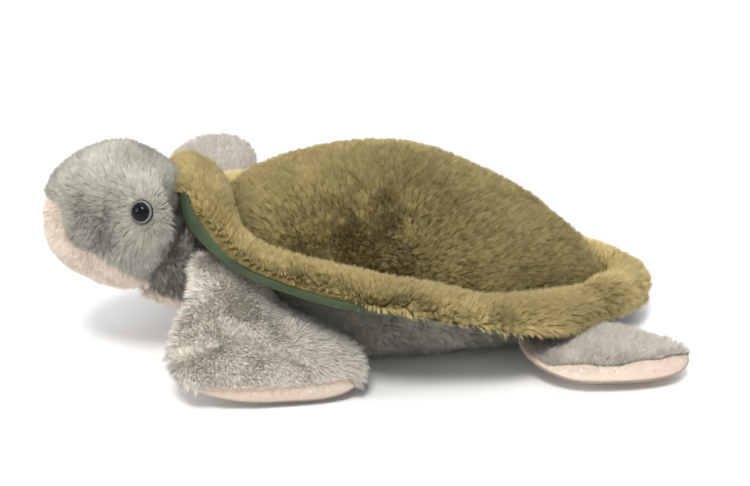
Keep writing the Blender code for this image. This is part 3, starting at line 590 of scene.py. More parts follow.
IRIS = plastic_material("eye_ring", (0.085, 0.090, 0.090), (0.140, 0.145, 0.140), 0.28)
RIMBLACK = plastic_material("eye_edge", (0.010, 0.010, 0.011), (0.016, 0.016, 0.017), 0.35)
WASHER = plastic_material("washer_moulded", (0.62, 0.62, 0.60), (0.72, 0.72, 0.70), 0.45)


# ----------------------------------------------------------------------- shell
DEPTH = 0.0042          # how far the shell's skin lies under the CAD surface
SIDES = 168


def shell_stations(sides):
    half = sides // 2
    edge, seam = curve_through(RIM_EDGE, half + 1), curve_through(DOME_SEAM, half + 1)

    def both(side):
        left = np.stack([side[:, 0], -side[:, 1], side[:, 2]], axis=1)
        return np.concatenate([left, left[1:-1][::-1] * np.array([1, -1, 1])])

    return both(seam), both(edge)


def dome_rings(seam, fractions):
    cx, cz = DOME_CENTRE[0], DOME_TOP
    tail = np.clip((seam[:, 0] - cx) / 0.136, 0, 1)
    power = 2.05 - 0.42 * tail
    rings = []
    for s in fractions:
        ring = seam.copy()
        ring[:, 0] = cx + s * (seam[:, 0] - cx)
        ring[:, 1] = s * seam[:, 1]
        ring[:, 2] = seam[:, 2] + (cz - seam[:, 2]) * (1 - s**power) ** 0.86
        rings.append(ring)
    return np.array(rings)


def grid_normals(rings, outward):
    """Unit normals of a [rings][sides] grid that wraps round its sides."""
    across = np.roll(rings, -1, axis=1) - np.roll(rings, 1, axis=1)
    down = np.gradient(rings, axis=0)
    n = unit(np.cross(across, down))
    sign = np.sign(np.einsum("ijk,ijk->ij", n, outward))[..., None]
    return n * np.where(sign == 0, 1, sign)


def rim_rise(middle, sa, ca):
    """Height over the middle line, at one angle, for the upper half."""
    flat = smooth01(np.abs(middle[:, 1]), 0.034, 0.060)
    ahead = smooth01(-middle[:, 0], 0.0, 0.035) * smooth01(-middle[:, 0], 0.125, 0.105)
    high = RIM_UP - (0.0042 + 0.0018 * ahead) * flat
    bend = np.where(ca < 0, 0.86 + 0.80 * flat, 0.86)
    return high * abs(sa) ** bend


def rim_down(middle):
    """Half height of the lower half of each station's section."""
    thin = 0.72 + 0.28 * np.clip((middle[:, 0] + 0.118) / 0.03, 0, 1)
    roll = smooth01(-middle[:, 0], 0.015, 0.060) * smooth01(np.abs(middle[:, 1]), 0.012, 0.040)
    return RIM_DOWN * np.maximum(thin, roll) + 0.0042 * roll


def rim_section(seam, edge, degs, grow=0.0):
    """Closed oval sections round the rim: 0 degrees is the outer edge, 90 the
    crest, 180 the seam with the dome."""
    run = edge - seam
    flat = unit(run * np.array([1, 1, 0]))
    width = np.linalg.norm(run, axis=1)
    along = run / width[:, None]
    tilt = run[:, 2] / width
    upright = np.stack([-flat[:, 0] * tilt, -flat[:, 1] * tilt, np.sqrt(1 - tilt**2)], axis=1)
    middle = (seam + edge) / 2
    low = rim_down(middle)
    rings = []
    for deg in degs:
        a = math.radians(deg)
        ca, sa = math.cos(a), math.sin(a)
        out = np.sign(ca) * abs(ca) ** 0.86
        rise = rim_rise(middle, sa, ca) if sa > 0 else -low * abs(sa) ** 0.86
        rings.append(middle + along * (width / 2 * out)[:, None] + upright * rise[:, None])
    return np.array(rings), middle, along, upright


def smooth_rings(rings, times=1):
    for _ in range(times):
        inner = rings.copy()
        inner[1:-1] = (rings[:-2] + 2 * rings[1:-1] + rings[2:]) / 4
        rings = inner
    return rings


def lining_height(points):
    return LINING_Z - LINING_FALL * (points[..., 0] - DOME_CENTRE[0])


def make_shell():
    seam, edge = shell_stations(SIDES)

    # dome: cushion under the pile
    steps = np.concatenate([[0.0], np.linspace(0.04, 1.0, 34)])
    top = dome_rings(seam, steps)
    normals = grid_normals(top, np.broadcast_to([0, 0, 1.0], top.shape))
    normals[0] = (0, 0, 1)
    sunk = top - normals * DEPTH
    sunk[0] = sunk[0].mean(axis=0)
    lumps = noise(sunk.reshape(-1, 3), 0.030, 5).reshape(sunk.shape[:2])
    sunk = sunk + normals * (0.0009 * lumps)[..., None]
    sunk[..., 2] -= (0.0022 * smooth01(steps, 0.86, 1.0))[:, None]
    base = sunk[::-1].copy()
    base[..., 2] = np.minimum(lining_height(base) + 0.004, base[..., 2] - 0.0005)
    verts, tris = closed_grid(np.concatenate([sunk, base[1:]]))
    dome = mesh_object("dome_cushion", verts, tris, [OLIVE_BACK])
    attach(dome, "torso")
    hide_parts("shell_dome", "shell_fill")

    grid = sunk.reshape(-1, 3)
    surface = Skin(*weld(grid, face_up(grid, grid_tris(len(steps), SIDES))))

    def dome_flow(p, n):
        out = p - np.array([DOME_CENTRE[0] - 0.01, 0.0, 0.0])
        out[:, 2] = 0
        out = unit(out)
        out = out - n * np.einsum("ij,ij->i", out, n)[:, None]
        swirl = np.cross(n, noise_vec(p, 0.050, 91))
        return 0.20 * out + 0.12 * swirl

    def dome_length(p):
        # shorter beside the seam, so that the crease stays open
        return 0.36 + 0.64 * smooth01(dome_fraction(p), 0.995, 0.88)

    def dome_fraction(p):
        cx = DOME_CENTRE[0]
        angle = np.arctan2(p[:, 1], p[:, 0] - cx)
        s_angle = np.arctan2(seam[:, 1], seam[:, 0] - cx)
        s_reach = np.hypot(seam[:, 0] - cx, seam[:, 1])
        order = np.argsort(s_angle)
        reach = np.interp(angle, s_angle[order], s_reach[order], period=2 * math.pi)
        return np.clip(np.hypot(p[:, 0] - cx, p[:, 1]) / reach, 0, 1)

    def dome_tone(p):
        f = dome_fraction(p)
        # darker overall and a little darker towards the tail; darker still beside the seam, which is
        # painted shade where the rim's crest hides the dome's base
        return -0.18 - 0.05 * smooth01(p[:, 0], 0.0, 0.07) - 0.25 * smooth01(f, 0.92, 0.985)

    made = pile("pile_dome", surface, [OLIVE], per_mm2=5.6 * PILE_SHARE, length=0.0068,
                width=0.00040, seed=11, flow=dome_flow, length_at=dome_length, tone=dome_tone,
                segments=1, clump=0.0030, pull=0.36, lean_noise=0.16, clump_noise=0.23,
                cloud=0.06)

    # rim: a stuffed ring; the pile covers it from the seam over to the edge
    degs = np.linspace(0, 360, 49)[:-1]
    outer, middle, along, upright = rim_section(seam, edge, degs)
    out_dir = outer - middle[None]
    ring_normals = np.zeros_like(outer)
    across = np.roll(outer, -1, axis=1) - np.roll(outer, 1, axis=1)
    down = np.roll(outer, -1, axis=0) - np.roll(outer, 1, axis=0)
    ring_normals = unit(np.cross(across, down))
    ring_normals *= np.sign(np.einsum("ijk,ijk->ij", ring_normals, out_dir))[..., None]
    above = smooth01(np.sin(np.radians(degs)), -0.55, 0.05)[:, None]
    depth = 0.0012 + (DEPTH - 0.0012) * above
    puff = noise(outer.reshape(-1, 3), 0.026, 8).reshape(outer.shape[:2])
    bulge = 0.0010 * np.exp(-((degs - 72) / 34.0) ** 2)[:, None]
    sunk = outer - ring_normals * (depth - 0.0011 * puff * above - bulge)[..., None]
    closed = np.concatenate([sunk, sunk[:1]])
    tris = grid_tris(len(closed), SIDES)
    verts, tris = weld(closed.reshape(-1, 3), tris)
    tris = face_out(verts, tris)
    rim = mesh_object("rim_cushion", verts, tris, [OLIVE_BACK])
    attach(rim, "torso")
    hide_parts("shell_rim", "rim_fill")

    # the lining shows as a green lip along the near front of the rim
    station_x = middle[:, 0]
    lip = (-14 + 20 * smooth01(-station_x, 0.004, 0.066) + 20 * smooth01(-station_x, 0.098, 0.116)
           - 42 * smooth01(np.abs(middle[:, 1]), 0.034, 0.018) * (station_x < -0.1))
    surface = Skin(verts, tris)
    tree = kdtree.KDTree(closed[:-1].reshape(-1, 3).shape[0])
    for i, p in enumerate(closed[:-1].reshape(-1, 3)):
        tree.insert(p, i)
    tree.balance()

    def where(p):
        """Angle round the section and station of the nearest rim point."""
        found = np.fromiter((tree.find(q)[1] for q in p), int, len(p))
        deg = degs[found // SIDES]
        return np.where(deg > 270, deg - 360, deg), found % SIDES

    half_wide, low_half = np.linalg.norm(edge - seam, axis=1) / 2, rim_down(middle)

    def fine_deg(p, station):
        """The angle itself, not that of the nearest ring of points."""
        away = p - middle[station]
        u = np.einsum("ij,ij->i", away, along[station]) / half_wide[station]
        w = np.einsum("ij,ij->i", away, upright[station])
        w = w / np.where(w > 0, RIM_UP, low_half[station])
        bend = 1 / 0.86
        return np.degrees(np.arctan2(np.sign(w) * abs(w) ** bend, np.sign(u) * abs(u) ** bend))

    def above_lip(p, rng):
        _deg, station = where(p)
        fine = fine_deg(p, station)
        fine = np.where(fine < -120, fine + 360, fine)
        return fine > lip[station] + rng.normal(0, 1.0, len(p))

    face_deg, face_station = where(surface.middle)
    covered = (face_deg > lip[face_station] - 8) & (face_deg < 186)
    covered = covered * (1 + 1.1 * smooth01(face_deg, lip[face_station] + 18,
                                            lip[face_station] + 4))

    def rim_flow(p, n):
        deg, station = where(p)
        a, u = along[station], upright[station]
        comb = (a * np.einsum("ij,ij->i", n, u)[:, None] - u * np.einsum("ij,ij->i", n, a)[:, None])
        edge_lie = 0.46 + 0.20 * smooth01(deg, lip[station] + 30, lip[station] + 6)
        return (comb * (edge_lie * smooth01(deg, 182, 132))[:, None]
                + 0.26 * np.cross(n, noise_vec(p, 0.030, 77)))

    def rim_length(p):
        deg, station = where(p)
        by_seam = smooth01(deg, 186, 96)
        by_lip = smooth01(deg, lip[station] - 4, lip[station] + 30)
        by_lip = np.maximum(by_lip, smooth01(lip[station], 2, -8))
        return (0.36 + 0.64 * by_seam) * (0.58 + 0.42 * by_lip)

    def rim_tone(p):
        deg, station = where(p)
        # lighter over the front half, darker at the very front and at the tail; darker at the seam, painted
        # shade in the crease, and darker towards the lip, painted shade on the rim's lower side
        return (0.42 + 0.09 * smooth01(-p[:, 0], 0.000, 0.040) - 0.14 * smooth01(-p[:, 0], 0.100, 0.125) - 0.25 * smooth01(deg, 174, 180)
                - 0.16 * smooth01(p[:, 0], 0.110, 0.150)
                - 0.12 * smooth01(deg, lip[station] + 26, lip[station] + 4))

    made += pile("pile_rim", surface, [OLIVE], per_mm2=5.6 * PILE_SHARE, length=0.0064,
                 width=0.00040, seed=12, segments=1, pull=0.38, flow=rim_flow, mask=covered, keep=above_lip,
                 length_at=rim_length, tone=rim_tone, clump=0.0034,
                 lean_noise=0.20, cloud=0.06)
    # undercoat at the bottom of the crease, where the dome and the rim are sewn together
    top_z = seam[:, 2] - 0.0025
    low_z = np.minimum(lining_height(seam) + 0.0013, top_z - 0.0016)
    away = unit((edge - seam) * np.array([1, 1, 0]))
    strip = []
    for t in np.linspace(0, 2 * math.pi, 13)[:-1]:
        ring = seam + away * (0.0058 * math.cos(t))
        ring[:, 2] = (top_z + low_z) / 2 + (top_z - low_z) / 2 * math.sin(t)
        strip.append(ring)
    strip = np.array(strip + strip[:1])
    verts, tris = weld(strip.reshape(-1, 3), grid_tris(len(strip), SIDES))
    made.append(mesh_object("crease_undercoat", verts, face_out(verts, tris), [OLIVE_BACK]))
    for obj in made:
        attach(obj, "torso")

    # lining: round the edge, under the rim and across under the dome
    count = 20
    share = np.linspace(0, 1, count)
    start = lip - 1
    under = []
    for s in share:
        deg = start + (-150 - start) * s
        ring = section_at(seam, edge, deg)
        under.append(ring)
    under = np.array(under)
    roof = under.copy()
    n_under = grid_normals(under, under - middle[None])
    under = under - n_under * 0.0002
    roof = under - n_under * 0.0011
    cx = DOME_CENTRE[0]
    flat, flat_up = [], []
    for s in (0.90, 0.6, 0.3, 0.0):
        ring = seam.copy()
        ring[:, 0] = cx + s * (seam[:, 0] - cx)
        ring[:, 1] = s * seam[:, 1]
        ring[:, 2] = lining_height(ring)
        flat.append(ring)
        flat_up.append(ring + np.array([0, 0, 0.0011]))
    under = smooth_rings(np.concatenate([under, np.array(flat)]), 2)
    roof = smooth_rings(np.concatenate([roof, np.array(flat_up)]), 2)
    rings = len(under)
    verts = np.concatenate([under.reshape(-1, 3), roof.reshape(-1, 3)])
    tris = np.concatenate([grid_tris(rings, SIDES), grid_tris(rings, SIDES, start=rings * SIDES)])
    j = np.arange(SIDES)
    k = (j + 1) % SIDES
    shift = rings * SIDES
    tris = np.concatenate([tris, np.stack([j, k, k + shift], 1), np.stack([j, k + shift, j + shift], 1)])
    verts, tris = weld(verts, tris)
    lining = mesh_object("lining", verts, tris, [GREEN])
    turn_out(lining)
    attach(lining, "torso")
    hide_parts("shell_lining")


def section_at(seam, edge, degs):
    """One point of each station's section, at an angle of its own."""
    run = edge - seam
    flat = unit(run * np.array([1, 1, 0]))
    width = np.linalg.norm(run, axis=1)
    along = run / width[:, None]
    tilt = run[:, 2] / width
    upright = np.stack([-flat[:, 0] * tilt, -flat[:, 1] * tilt, np.sqrt(1 - tilt**2)], axis=1)
    middle = (seam + edge) / 2
    a = np.radians(degs)
    ca, sa = np.cos(a), np.sin(a)
    out = np.sign(ca) * abs(ca) ** 0.86
    rise = np.where(sa > 0, rim_rise(middle, sa, ca), -rim_down(middle) * abs(sa) ** 0.86)
    return middle + along * (width / 2 * out)[:, None] + upright * rise[:, None]


def face_up(verts, tris):
    a, b, c = (verts[tris[:, k]] for k in range(3))
    if np.cross(b - a, c - a)[:, 2].sum() < 0:
        return tris[:, ::-1]
    return tris


def turn_out(obj):
    """Recalculates a closed mesh's normals outwards."""
    import bmesh
    bm = bmesh.new()
    bm.from_mesh(obj.data)
    bmesh.ops.recalc_face_normals(bm, faces=bm.faces)
    bm.to_mesh(obj.data)
    bm.free()
    obj.data.shade_smooth()


# ------------------------------------------------------------------------ body
def body_section(x, half, low, sides, inset, front):
    high = LINING_Z - LINING_FALL * (x - DOME_CENTRE[0]) - 0.0022 - inset
    low, half = low + inset, max(half - inset, 0.0012)
    high = max(high, low + 0.0024)
    dip = 0.0035 if high - low > 0.02 else 0.0
    middle, tall = (high + low - dip) / 2, (high - low + dip) / 2
    a = np.radians(np.linspace(-90, 270, sides, endpoint=False))
    ca, sa = np.cos(a), np.sin(a)
    y = half * np.sign(ca) * abs(ca) ** 0.78
    z = np.maximum(middle + tall * np.sign(sa) * abs(sa) ** 0.78, low)
    px = np.full(sides, x)
    if front:
        px = NOD[0] - np.sqrt(np.maximum((NOD_R - 0.0005) ** 2 - (z - NOD[1]) ** 2, 1.6e-7))
    return np.stack([px, y, z], axis=1)


def make_body():
    sides, inset = 96, 0.0045
    half, low = BODY_FRONT
    front = body_section(-0.1100, half, low, sides, inset, True)
    table = curve_through(BODY, 44)
    rings = [body_section(x, h, max(z, 0.0), sides, inset, False) for x, h, z in table]
    ramp = [front + (rings[0] - front) * k for k in (0.0, 0.34, 0.67)]
    rings = np.array(ramp + rings)
    # the underside lies flat on the floor
    low = rings[..., 2].min(axis=1, keepdims=True)
    rings[..., 2] = np.where(rings[..., 2] < low + 1e-6, np.maximum(rings[..., 2] - 0.0032, 0.0012),
                             rings[..., 2])
    rings = smooth_rings(rings, 2)
    verts, tris = closed_grid(rings)
    skin = Skin(verts, tris)
    under = skin.face_normal[:, 2] < -0.93
    face_mat = np.where(under, 1, 0)
    body = mesh_object("body_cushion", verts, tris, [GREY_BACK, PALE_BACK], face_mat=face_mat)
    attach(body, "torso")
    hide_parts("body_cover", "belly_panel", "body_fill")

    def flow(p, n):
        back = np.tile([0.42, 0.0, -0.12], (len(p), 1))
        return back - n * np.einsum("ij,ij->i", back, n)[:, None] + 0.2 * np.cross(
            n, noise_vec(p, 0.03, 61))

    side_mask = (~under) & (skin.face_normal[:, 2] < 0.55)
    # painted shade: the grey pile on the body's sides is darkened all over, as shade under the shell
    grey = pile("pile_body", skin, [GREY], per_mm2=3.4 * PILE_SHARE, length=0.0058,
                width=0.00040, segments=1, seed=21, flow=flow, mask=side_mask.astype(float),
                tone=lambda p: np.full(len(p), -0.16))
    pale = pile("pile_belly", skin, [PALE], per_mm2=0.9 * PILE_SHARE, length=0.0045,
                width=0.00055, seed=22, flow=flow, mask=under.astype(float), segments=1)
    for objects, s in ((grey, "grey_plush"), (pale, "pale_plush")):
        for obj in objects:
            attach(obj, "torso")


# ------------------------------------------------------------------------ head
HEAD_TABLE = curve_through(HEAD, 120)
HEAD_TABLE = HEAD_TABLE[np.argsort(HEAD_TABLE[:, 0])]


def head_reach(d):
    """Distance from the middle of the round back out to the head's surface."""
    centre = np.array([HEAD_C[0], 0, HEAD_C[1]])
    near, far = np.full(len(d), 0.005), np.full(len(d), 0.080)
    for _ in range(26):
        r = (near + far) / 2
        p = centre + d * r[:, None]
        half, high, low = (np.interp(p[:, 0], HEAD_TABLE[:, 0], HEAD_TABLE[:, k])
                           for k in (1, 2, 3))
        middle, tall = (high + low) / 2, (high - low) / 2
        inside = (np.abs(p[:, 1]) / half) ** 2.15 + (np.abs(p[:, 2] - middle) / tall) ** 2.15 < 1
        inside &= (p[:, 0] > HEAD[0][0]) & (p[:, 0] < HEAD[-1][0])
        near, far = np.where(inside, r, near), np.where(inside, far, r)
    return near


def seam_side(p):
    """Positive on the grey side of the chin seam, negative on the pale side,
    about in metres."""
    line = curve_through(CHIN_SEAM, 90)
    q = p[:, [0, 2]]
    best = np.full(len(p), 1e9)
    sign = np.zeros(len(p))
    for a, b in zip(line[:-1], line[1:]):
        ab = b - a
        t = np.clip(((q - a) @ ab) / (ab @ ab), 0, 1)
        near = a + t[:, None] * ab
        d = np.linalg.norm(q - near, axis=1)
        cross = ab[0] * (q[:, 1] - a[1]) - ab[1] * (q[:, 0] - a[0])
        closer = d < best
        best = np.where(closer, d, best)
        sign = np.where(closer, np.sign(cross), sign)
    return best * sign


def eye_frame(sign):
    turn, rise = math.radians(EYE_TURN_DEG), math.radians(EYE_RISE_DEG)
    axis = np.array([-math.sin(turn) * math.cos(rise), sign * math.cos(turn) * math.cos(rise),
                     math.sin(rise)])
    half, high, low = (np.interp(EYE_AT[0], HEAD_TABLE[:, 0], HEAD_TABLE[:, k]) for k in (1, 2, 3))
    middle, tall = (high + low) / 2, (high - low) / 2
    y = half * (1 - (abs(EYE_AT[1] - middle) / tall) ** 2.15) ** (1 / 2.15)
    return np.array([EYE_AT[0], sign * y, EYE_AT[1]]) + axis * EYE_SEAT, axis


def make_head():
    nod = np.array([NOD[0], 0, NOD[1]])
    centre = np.array([HEAD_C[0], 0, HEAD_C[1]])
    along = unit(centre - nod)
    across = np.array([0, -1.0, 0])
    up = np.cross(across, along)
    up *= np.sign(up[2])
    sides, rings = 128, 96
    grid = []
    turns = np.linspace(0, 2 * math.pi, sides, endpoint=False)
    begin = 62 - 22 * smooth01(np.sin(turns), -0.3, 0.8)
    for p in np.linspace(0, math.pi, rings):
        d = (-along * math.cos(p) + (across * np.cos(turns)[:, None] + up * np.sin(turns)[:, None])
             * math.sin(p))
        k = smooth01(math.degrees(p), begin, begin + 24)
        slim = 0.0045 * smooth01(np.sin(turns), 0.55, -0.25) * smooth01(math.degrees(p), 12, 40)
        r = (HEAD_R - 0.002 - slim) * (1 - k) + head_reach(d) * k
        grid.append(centre + d * (r - 0.0038)[:, None])
    grid = np.array(grid)
    grid[0], grid[-1] = grid[0].mean(axis=0), grid[-1].mean(axis=0)
    # smooth away the table's small steps
    for _ in range(4):
        g = grid.copy()
        g[1:-1] = (grid[:-2] + grid[2:] + 2 * grid[1:-1]) / 4
        g = (np.roll(g, 1, axis=1) + np.roll(g, -1, axis=1) + 2 * g) / 4
        grid[1:-1] = g[1:-1]
    verts, tris = closed_grid(grid)
    skin = Skin(verts, tris)
    # the skin comes up to the back of each eye
    for sign in (-1, 1):
        seat, axis = eye_frame(sign)
        away = verts - seat
        height = away @ axis
        d = np.linalg.norm(away - np.outer(height, axis), axis=1)
        near = (height > -0.03) * smooth01(d, 0.0260, 0.0078)
        verts = verts + axis * ((-0.0006 - height) * near)[:, None]
    skin = Skin(verts, tris)
    side = seam_side(skin.middle)
    head = mesh_object("head_cushion", verts, tris, [GREY_BACK, PALE_BACK],
                       face_mat=np.where(side > 0, 0, 1))
    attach(head, "head")
    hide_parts("head_cover", "chin_panel", "head_fill")

    eyes = [eye_frame(s) for s in (-1, 1)]

    def off_eye(p):
        """Distance from the axis of the eye on the same side, and the way out."""
        best, out = np.full(len(p), 1.0), np.zeros_like(p)
        for sign, (seat, axis) in zip((-1, 1), eyes):
            away = p - seat
            flat = away - np.outer(away @ axis, axis)
            mine = p[:, 1] * sign > 0
            best = np.where(mine, np.linalg.norm(flat, axis=1), best)
            out[mine] = unit(flat[mine])
        return best, out

    def flow(p, n):
        d, out = off_eye(p)
        out = unit(out - n * np.einsum("ij,ij->i", out, n)[:, None])
        strong = (0.24 + 0.18 * smooth01(d, 0.036, 0.018) + 0.55 * smooth01(d, 0.022, 0.008))
        strong = strong * smooth01(np.abs(p[:, 1]), 0.0, 0.014)
        loose = 0.22 + 0.26 * smooth01(p[:, 2], 0.108, 0.086)
        return out * strong[:, None] + loose[:, None] * np.cross(n, noise_vec(p, 0.013, 33))

    def shade(p):
        # painted light and shade: lighter on the crown, where light falls from above, and darker under the
        # cheek where it meets the neck, as painted shade; a little lighter again low down
        rear = (p - centre) @ along
        return (-0.10
                - 0.40 * smooth01(rear, -0.006, -0.028) * smooth01(p[:, 2], 0.102, 0.080)
                - 0.15 * smooth01(p[:, 2], 0.126, 0.108) + 0.07 * smooth01(p[:, 2], 0.090, 0.075))

    def length(p):
        d, _out = off_eye(p)
        return (0.70 + 0.30 * smooth01(d, 0.007, 0.017)) * (1 + 0.35 * smooth01(
            p[:, 0], -0.155, -0.138))

    def keep_grey(p, rng):
        d, _out = off_eye(p)
        # not under the eyes, nor deep inside the neck
        inside = (p - centre) @ along < -0.0325
        return (d > EYE_R * 0.86) & (seam_side(p) > rng.normal(0, 0.0004, len(p))) & ~inside

    def keep_pale(p, rng):
        inside = (p - centre) @ along < -0.0325
        return (seam_side(p) < rng.normal(0, 0.0004, len(p))) & ~inside

    grey = pile("pile_head", skin, [GREY], per_mm2=6.0 * PILE_SHARE, length=0.0060,
                width=0.00038, seed=31, segments=1, pull=0.42, flow=flow, keep=keep_grey, length_at=length,
                mask=(side > -0.003).astype(float), lean_noise=0.20, clump=0.0026,
                clump_noise=0.14, tone=shade, soft=0.3, cloud=0.08)

    def chin_flow(p, n):
        way = np.tile([0.25, 0.0, -0.35], (len(p), 1))
        return way - n * np.einsum("ij,ij->i", way, n)[:, None]

    pale = pile("pile_chin", skin, [PALE], per_mm2=5.0 * PILE_SHARE, length=0.0050,
                width=0.00034, seed=32, segments=1, flow=chin_flow, keep=keep_pale,
                mask=(side < 0.003).astype(float), lean_noise=0.16, clump=0.0040, pull=0.3,
                spread=0.14, clump_noise=0.12, tone=lambda p: np.full(len(p), 0.36))
    for objects, s in ((grey, "grey_plush"), (pale, "pale_plush")):
        for obj in objects:
            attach(obj, "head")
    make_eyes()


def make_eyes():
    for label, sign in (("left", -1), ("right", 1)):
        seat, axis = eye_frame(sign)
        side = unit(np.cross(axis, [0.3, 0.2, 1.0]))
        other = np.cross(axis, side)
        # thin black flange, grey ring, then the domed pupil, and the stem behind
        profile = [(-0.0091, 0.0), (-0.0091, 0.0021), (-0.0006, 0.0021), (-0.0004, 0.0070),
                   (0.0000, 0.0077), (0.0005, 0.0079), (0.0010, 0.0079), (0.0014, 0.0077),
                   (0.0016, 0.00755), (0.0017, 0.0074), (0.0021, 0.0069), (0.0024, 0.0064),
                   (0.0025, 0.0062)]
        for a in np.radians(np.linspace(86, 2, 20)):
            profile.append((0.0024 + 0.0036 * math.cos(a), 0.0061 * math.sin(a)))
        profile.append((0.0060, 0.0))
        turns = np.linspace(0, 2 * math.pi, 64, endpoint=False)
        grid = np.array([seat + axis * t + (side * np.cos(turns)[:, None]
                                            + other * np.sin(turns)[:, None]) * r * 0.92
                         for t, r in profile])
        verts, tris = closed_grid(grid)
        away = verts[tris].mean(axis=1) - seat
        height = away @ axis
        reach = np.linalg.norm(away - np.outer(height, axis), axis=1)
        reach = reach / 0.92
        face_mat = np.where(reach < 0.00612, 0, np.where(reach < 0.0074, 1, 2))
        face_mat = np.where(height < 0.0014, 2, face_mat)
        eye = mesh_object("toy_eye_" + label, verts, tris, [PUPIL, IRIS, RIMBLACK],
                          face_mat=face_mat)
        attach(eye, "head")
        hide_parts("eye_" + label)
        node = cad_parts["eye_washer_" + label]
        node.data.materials.clear()
        node.data.materials.append(WASHER)


# ------------------------------------------------------------------------ neck
def make_neck():
    nod = np.array([NOD[0], 0, NOD[1]])
    head = np.array([HEAD_C[0], 0, HEAD_C[1]])
    length = np.linalg.norm(head - nod)
    along = (head - nod) / length
    across = np.array([0, -1.0, 0])
    up = np.cross(across, along)
    up *= np.sign(up[2])
    sides = 80
    turns = np.linspace(0, 2 * math.pi, sides, endpoint=False)

    def ring(t):
        """t is metres along the neck from the nodding axis."""
        k = (t - 0.030) / (length - 0.055)
        high = 0.0185 + 0.002 * math.sin(math.pi * min(max(k, 0), 1))
        low = 0.0372 - 0.0042 * min(max(k, 0), 1) ** 2
        w = 0.0300
        tall = np.where(np.sin(turns) > 0, high, low)
        return (nod + along * t + across * (w * np.cos(turns))[:, None]
                + up * (tall * np.sin(turns))[:, None])

    half = 0.5 * (NOD_R + (length - HEAD_R)) + 0.002
    spans = {"rear": (0.022, half, "torso", "neck", 0.034, half - 0.004),
             "front": (half, length - 0.018, "neck", "head", half + 0.004, length - 0.034)}
    for label, (t0, t1, a, b, s0, s1) in spans.items():
        grid = np.array([ring(t) for t in np.linspace(t0, t1, 14)])
        verts, tris = closed_grid(grid)
        skin = Skin(verts, tris)
        pale_face = np.degrees(np.arctan2(-((skin.middle - nod) @ up),
                                          np.abs(skin.middle[:, 1]))) > 50
        piece = mesh_object("neck_cushion_" + label, verts, tris, [GREY_BACK, PALE_BACK],
                            face_mat=pale_face.astype(int))
        turn_out(piece)
        if label == "rear":
            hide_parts("neck_cover", "neck_fill")
        else:
            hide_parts("throat_panel")
        wall = np.abs(skin.face_normal @ along) < 0.8

        def keep_grey(p, rng):
            q = p - nod
            return np.degrees(np.arctan2(-(q @ up), np.abs(p[:, 1]))) < 50

        def keep_pale(p, rng):
            return ~keep_grey(p, rng)

        def flow(p, n):
            return np.tile(-along * 0.25, (len(p), 1)) + 0.25 * np.cross(n, noise_vec(p, 0.03, 45))

        # painted shade: the grey pile on the neck is darkened all over, as shade under the head and the
        # shell
        grey = pile("pile_neck_" + label, skin, [GREY], per_mm2=4.4 * PILE_SHARE, length=0.0068,
                    width=0.00039, segments=1, seed=41, flow=flow, mask=wall.astype(float), keep=keep_grey,
                    tone=lambda p: np.full(len(p), -0.42))
        pale = pile("pile_throat_" + label, skin, [PALE], per_mm2=4.4 * PILE_SHARE, length=0.0056,
                    width=0.00036, segments=1, seed=42, flow=flow, mask=wall.astype(float), keep=keep_pale,
                    clump_noise=0.16, lean_noise=0.16, tone=lambda p: np.full(len(p), 0.40))
        for objects, s in (([piece], "grey_plush"), (grey, "grey_plush"), (pale, "pale_plush")):
            for obj in objects:
                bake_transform(obj)


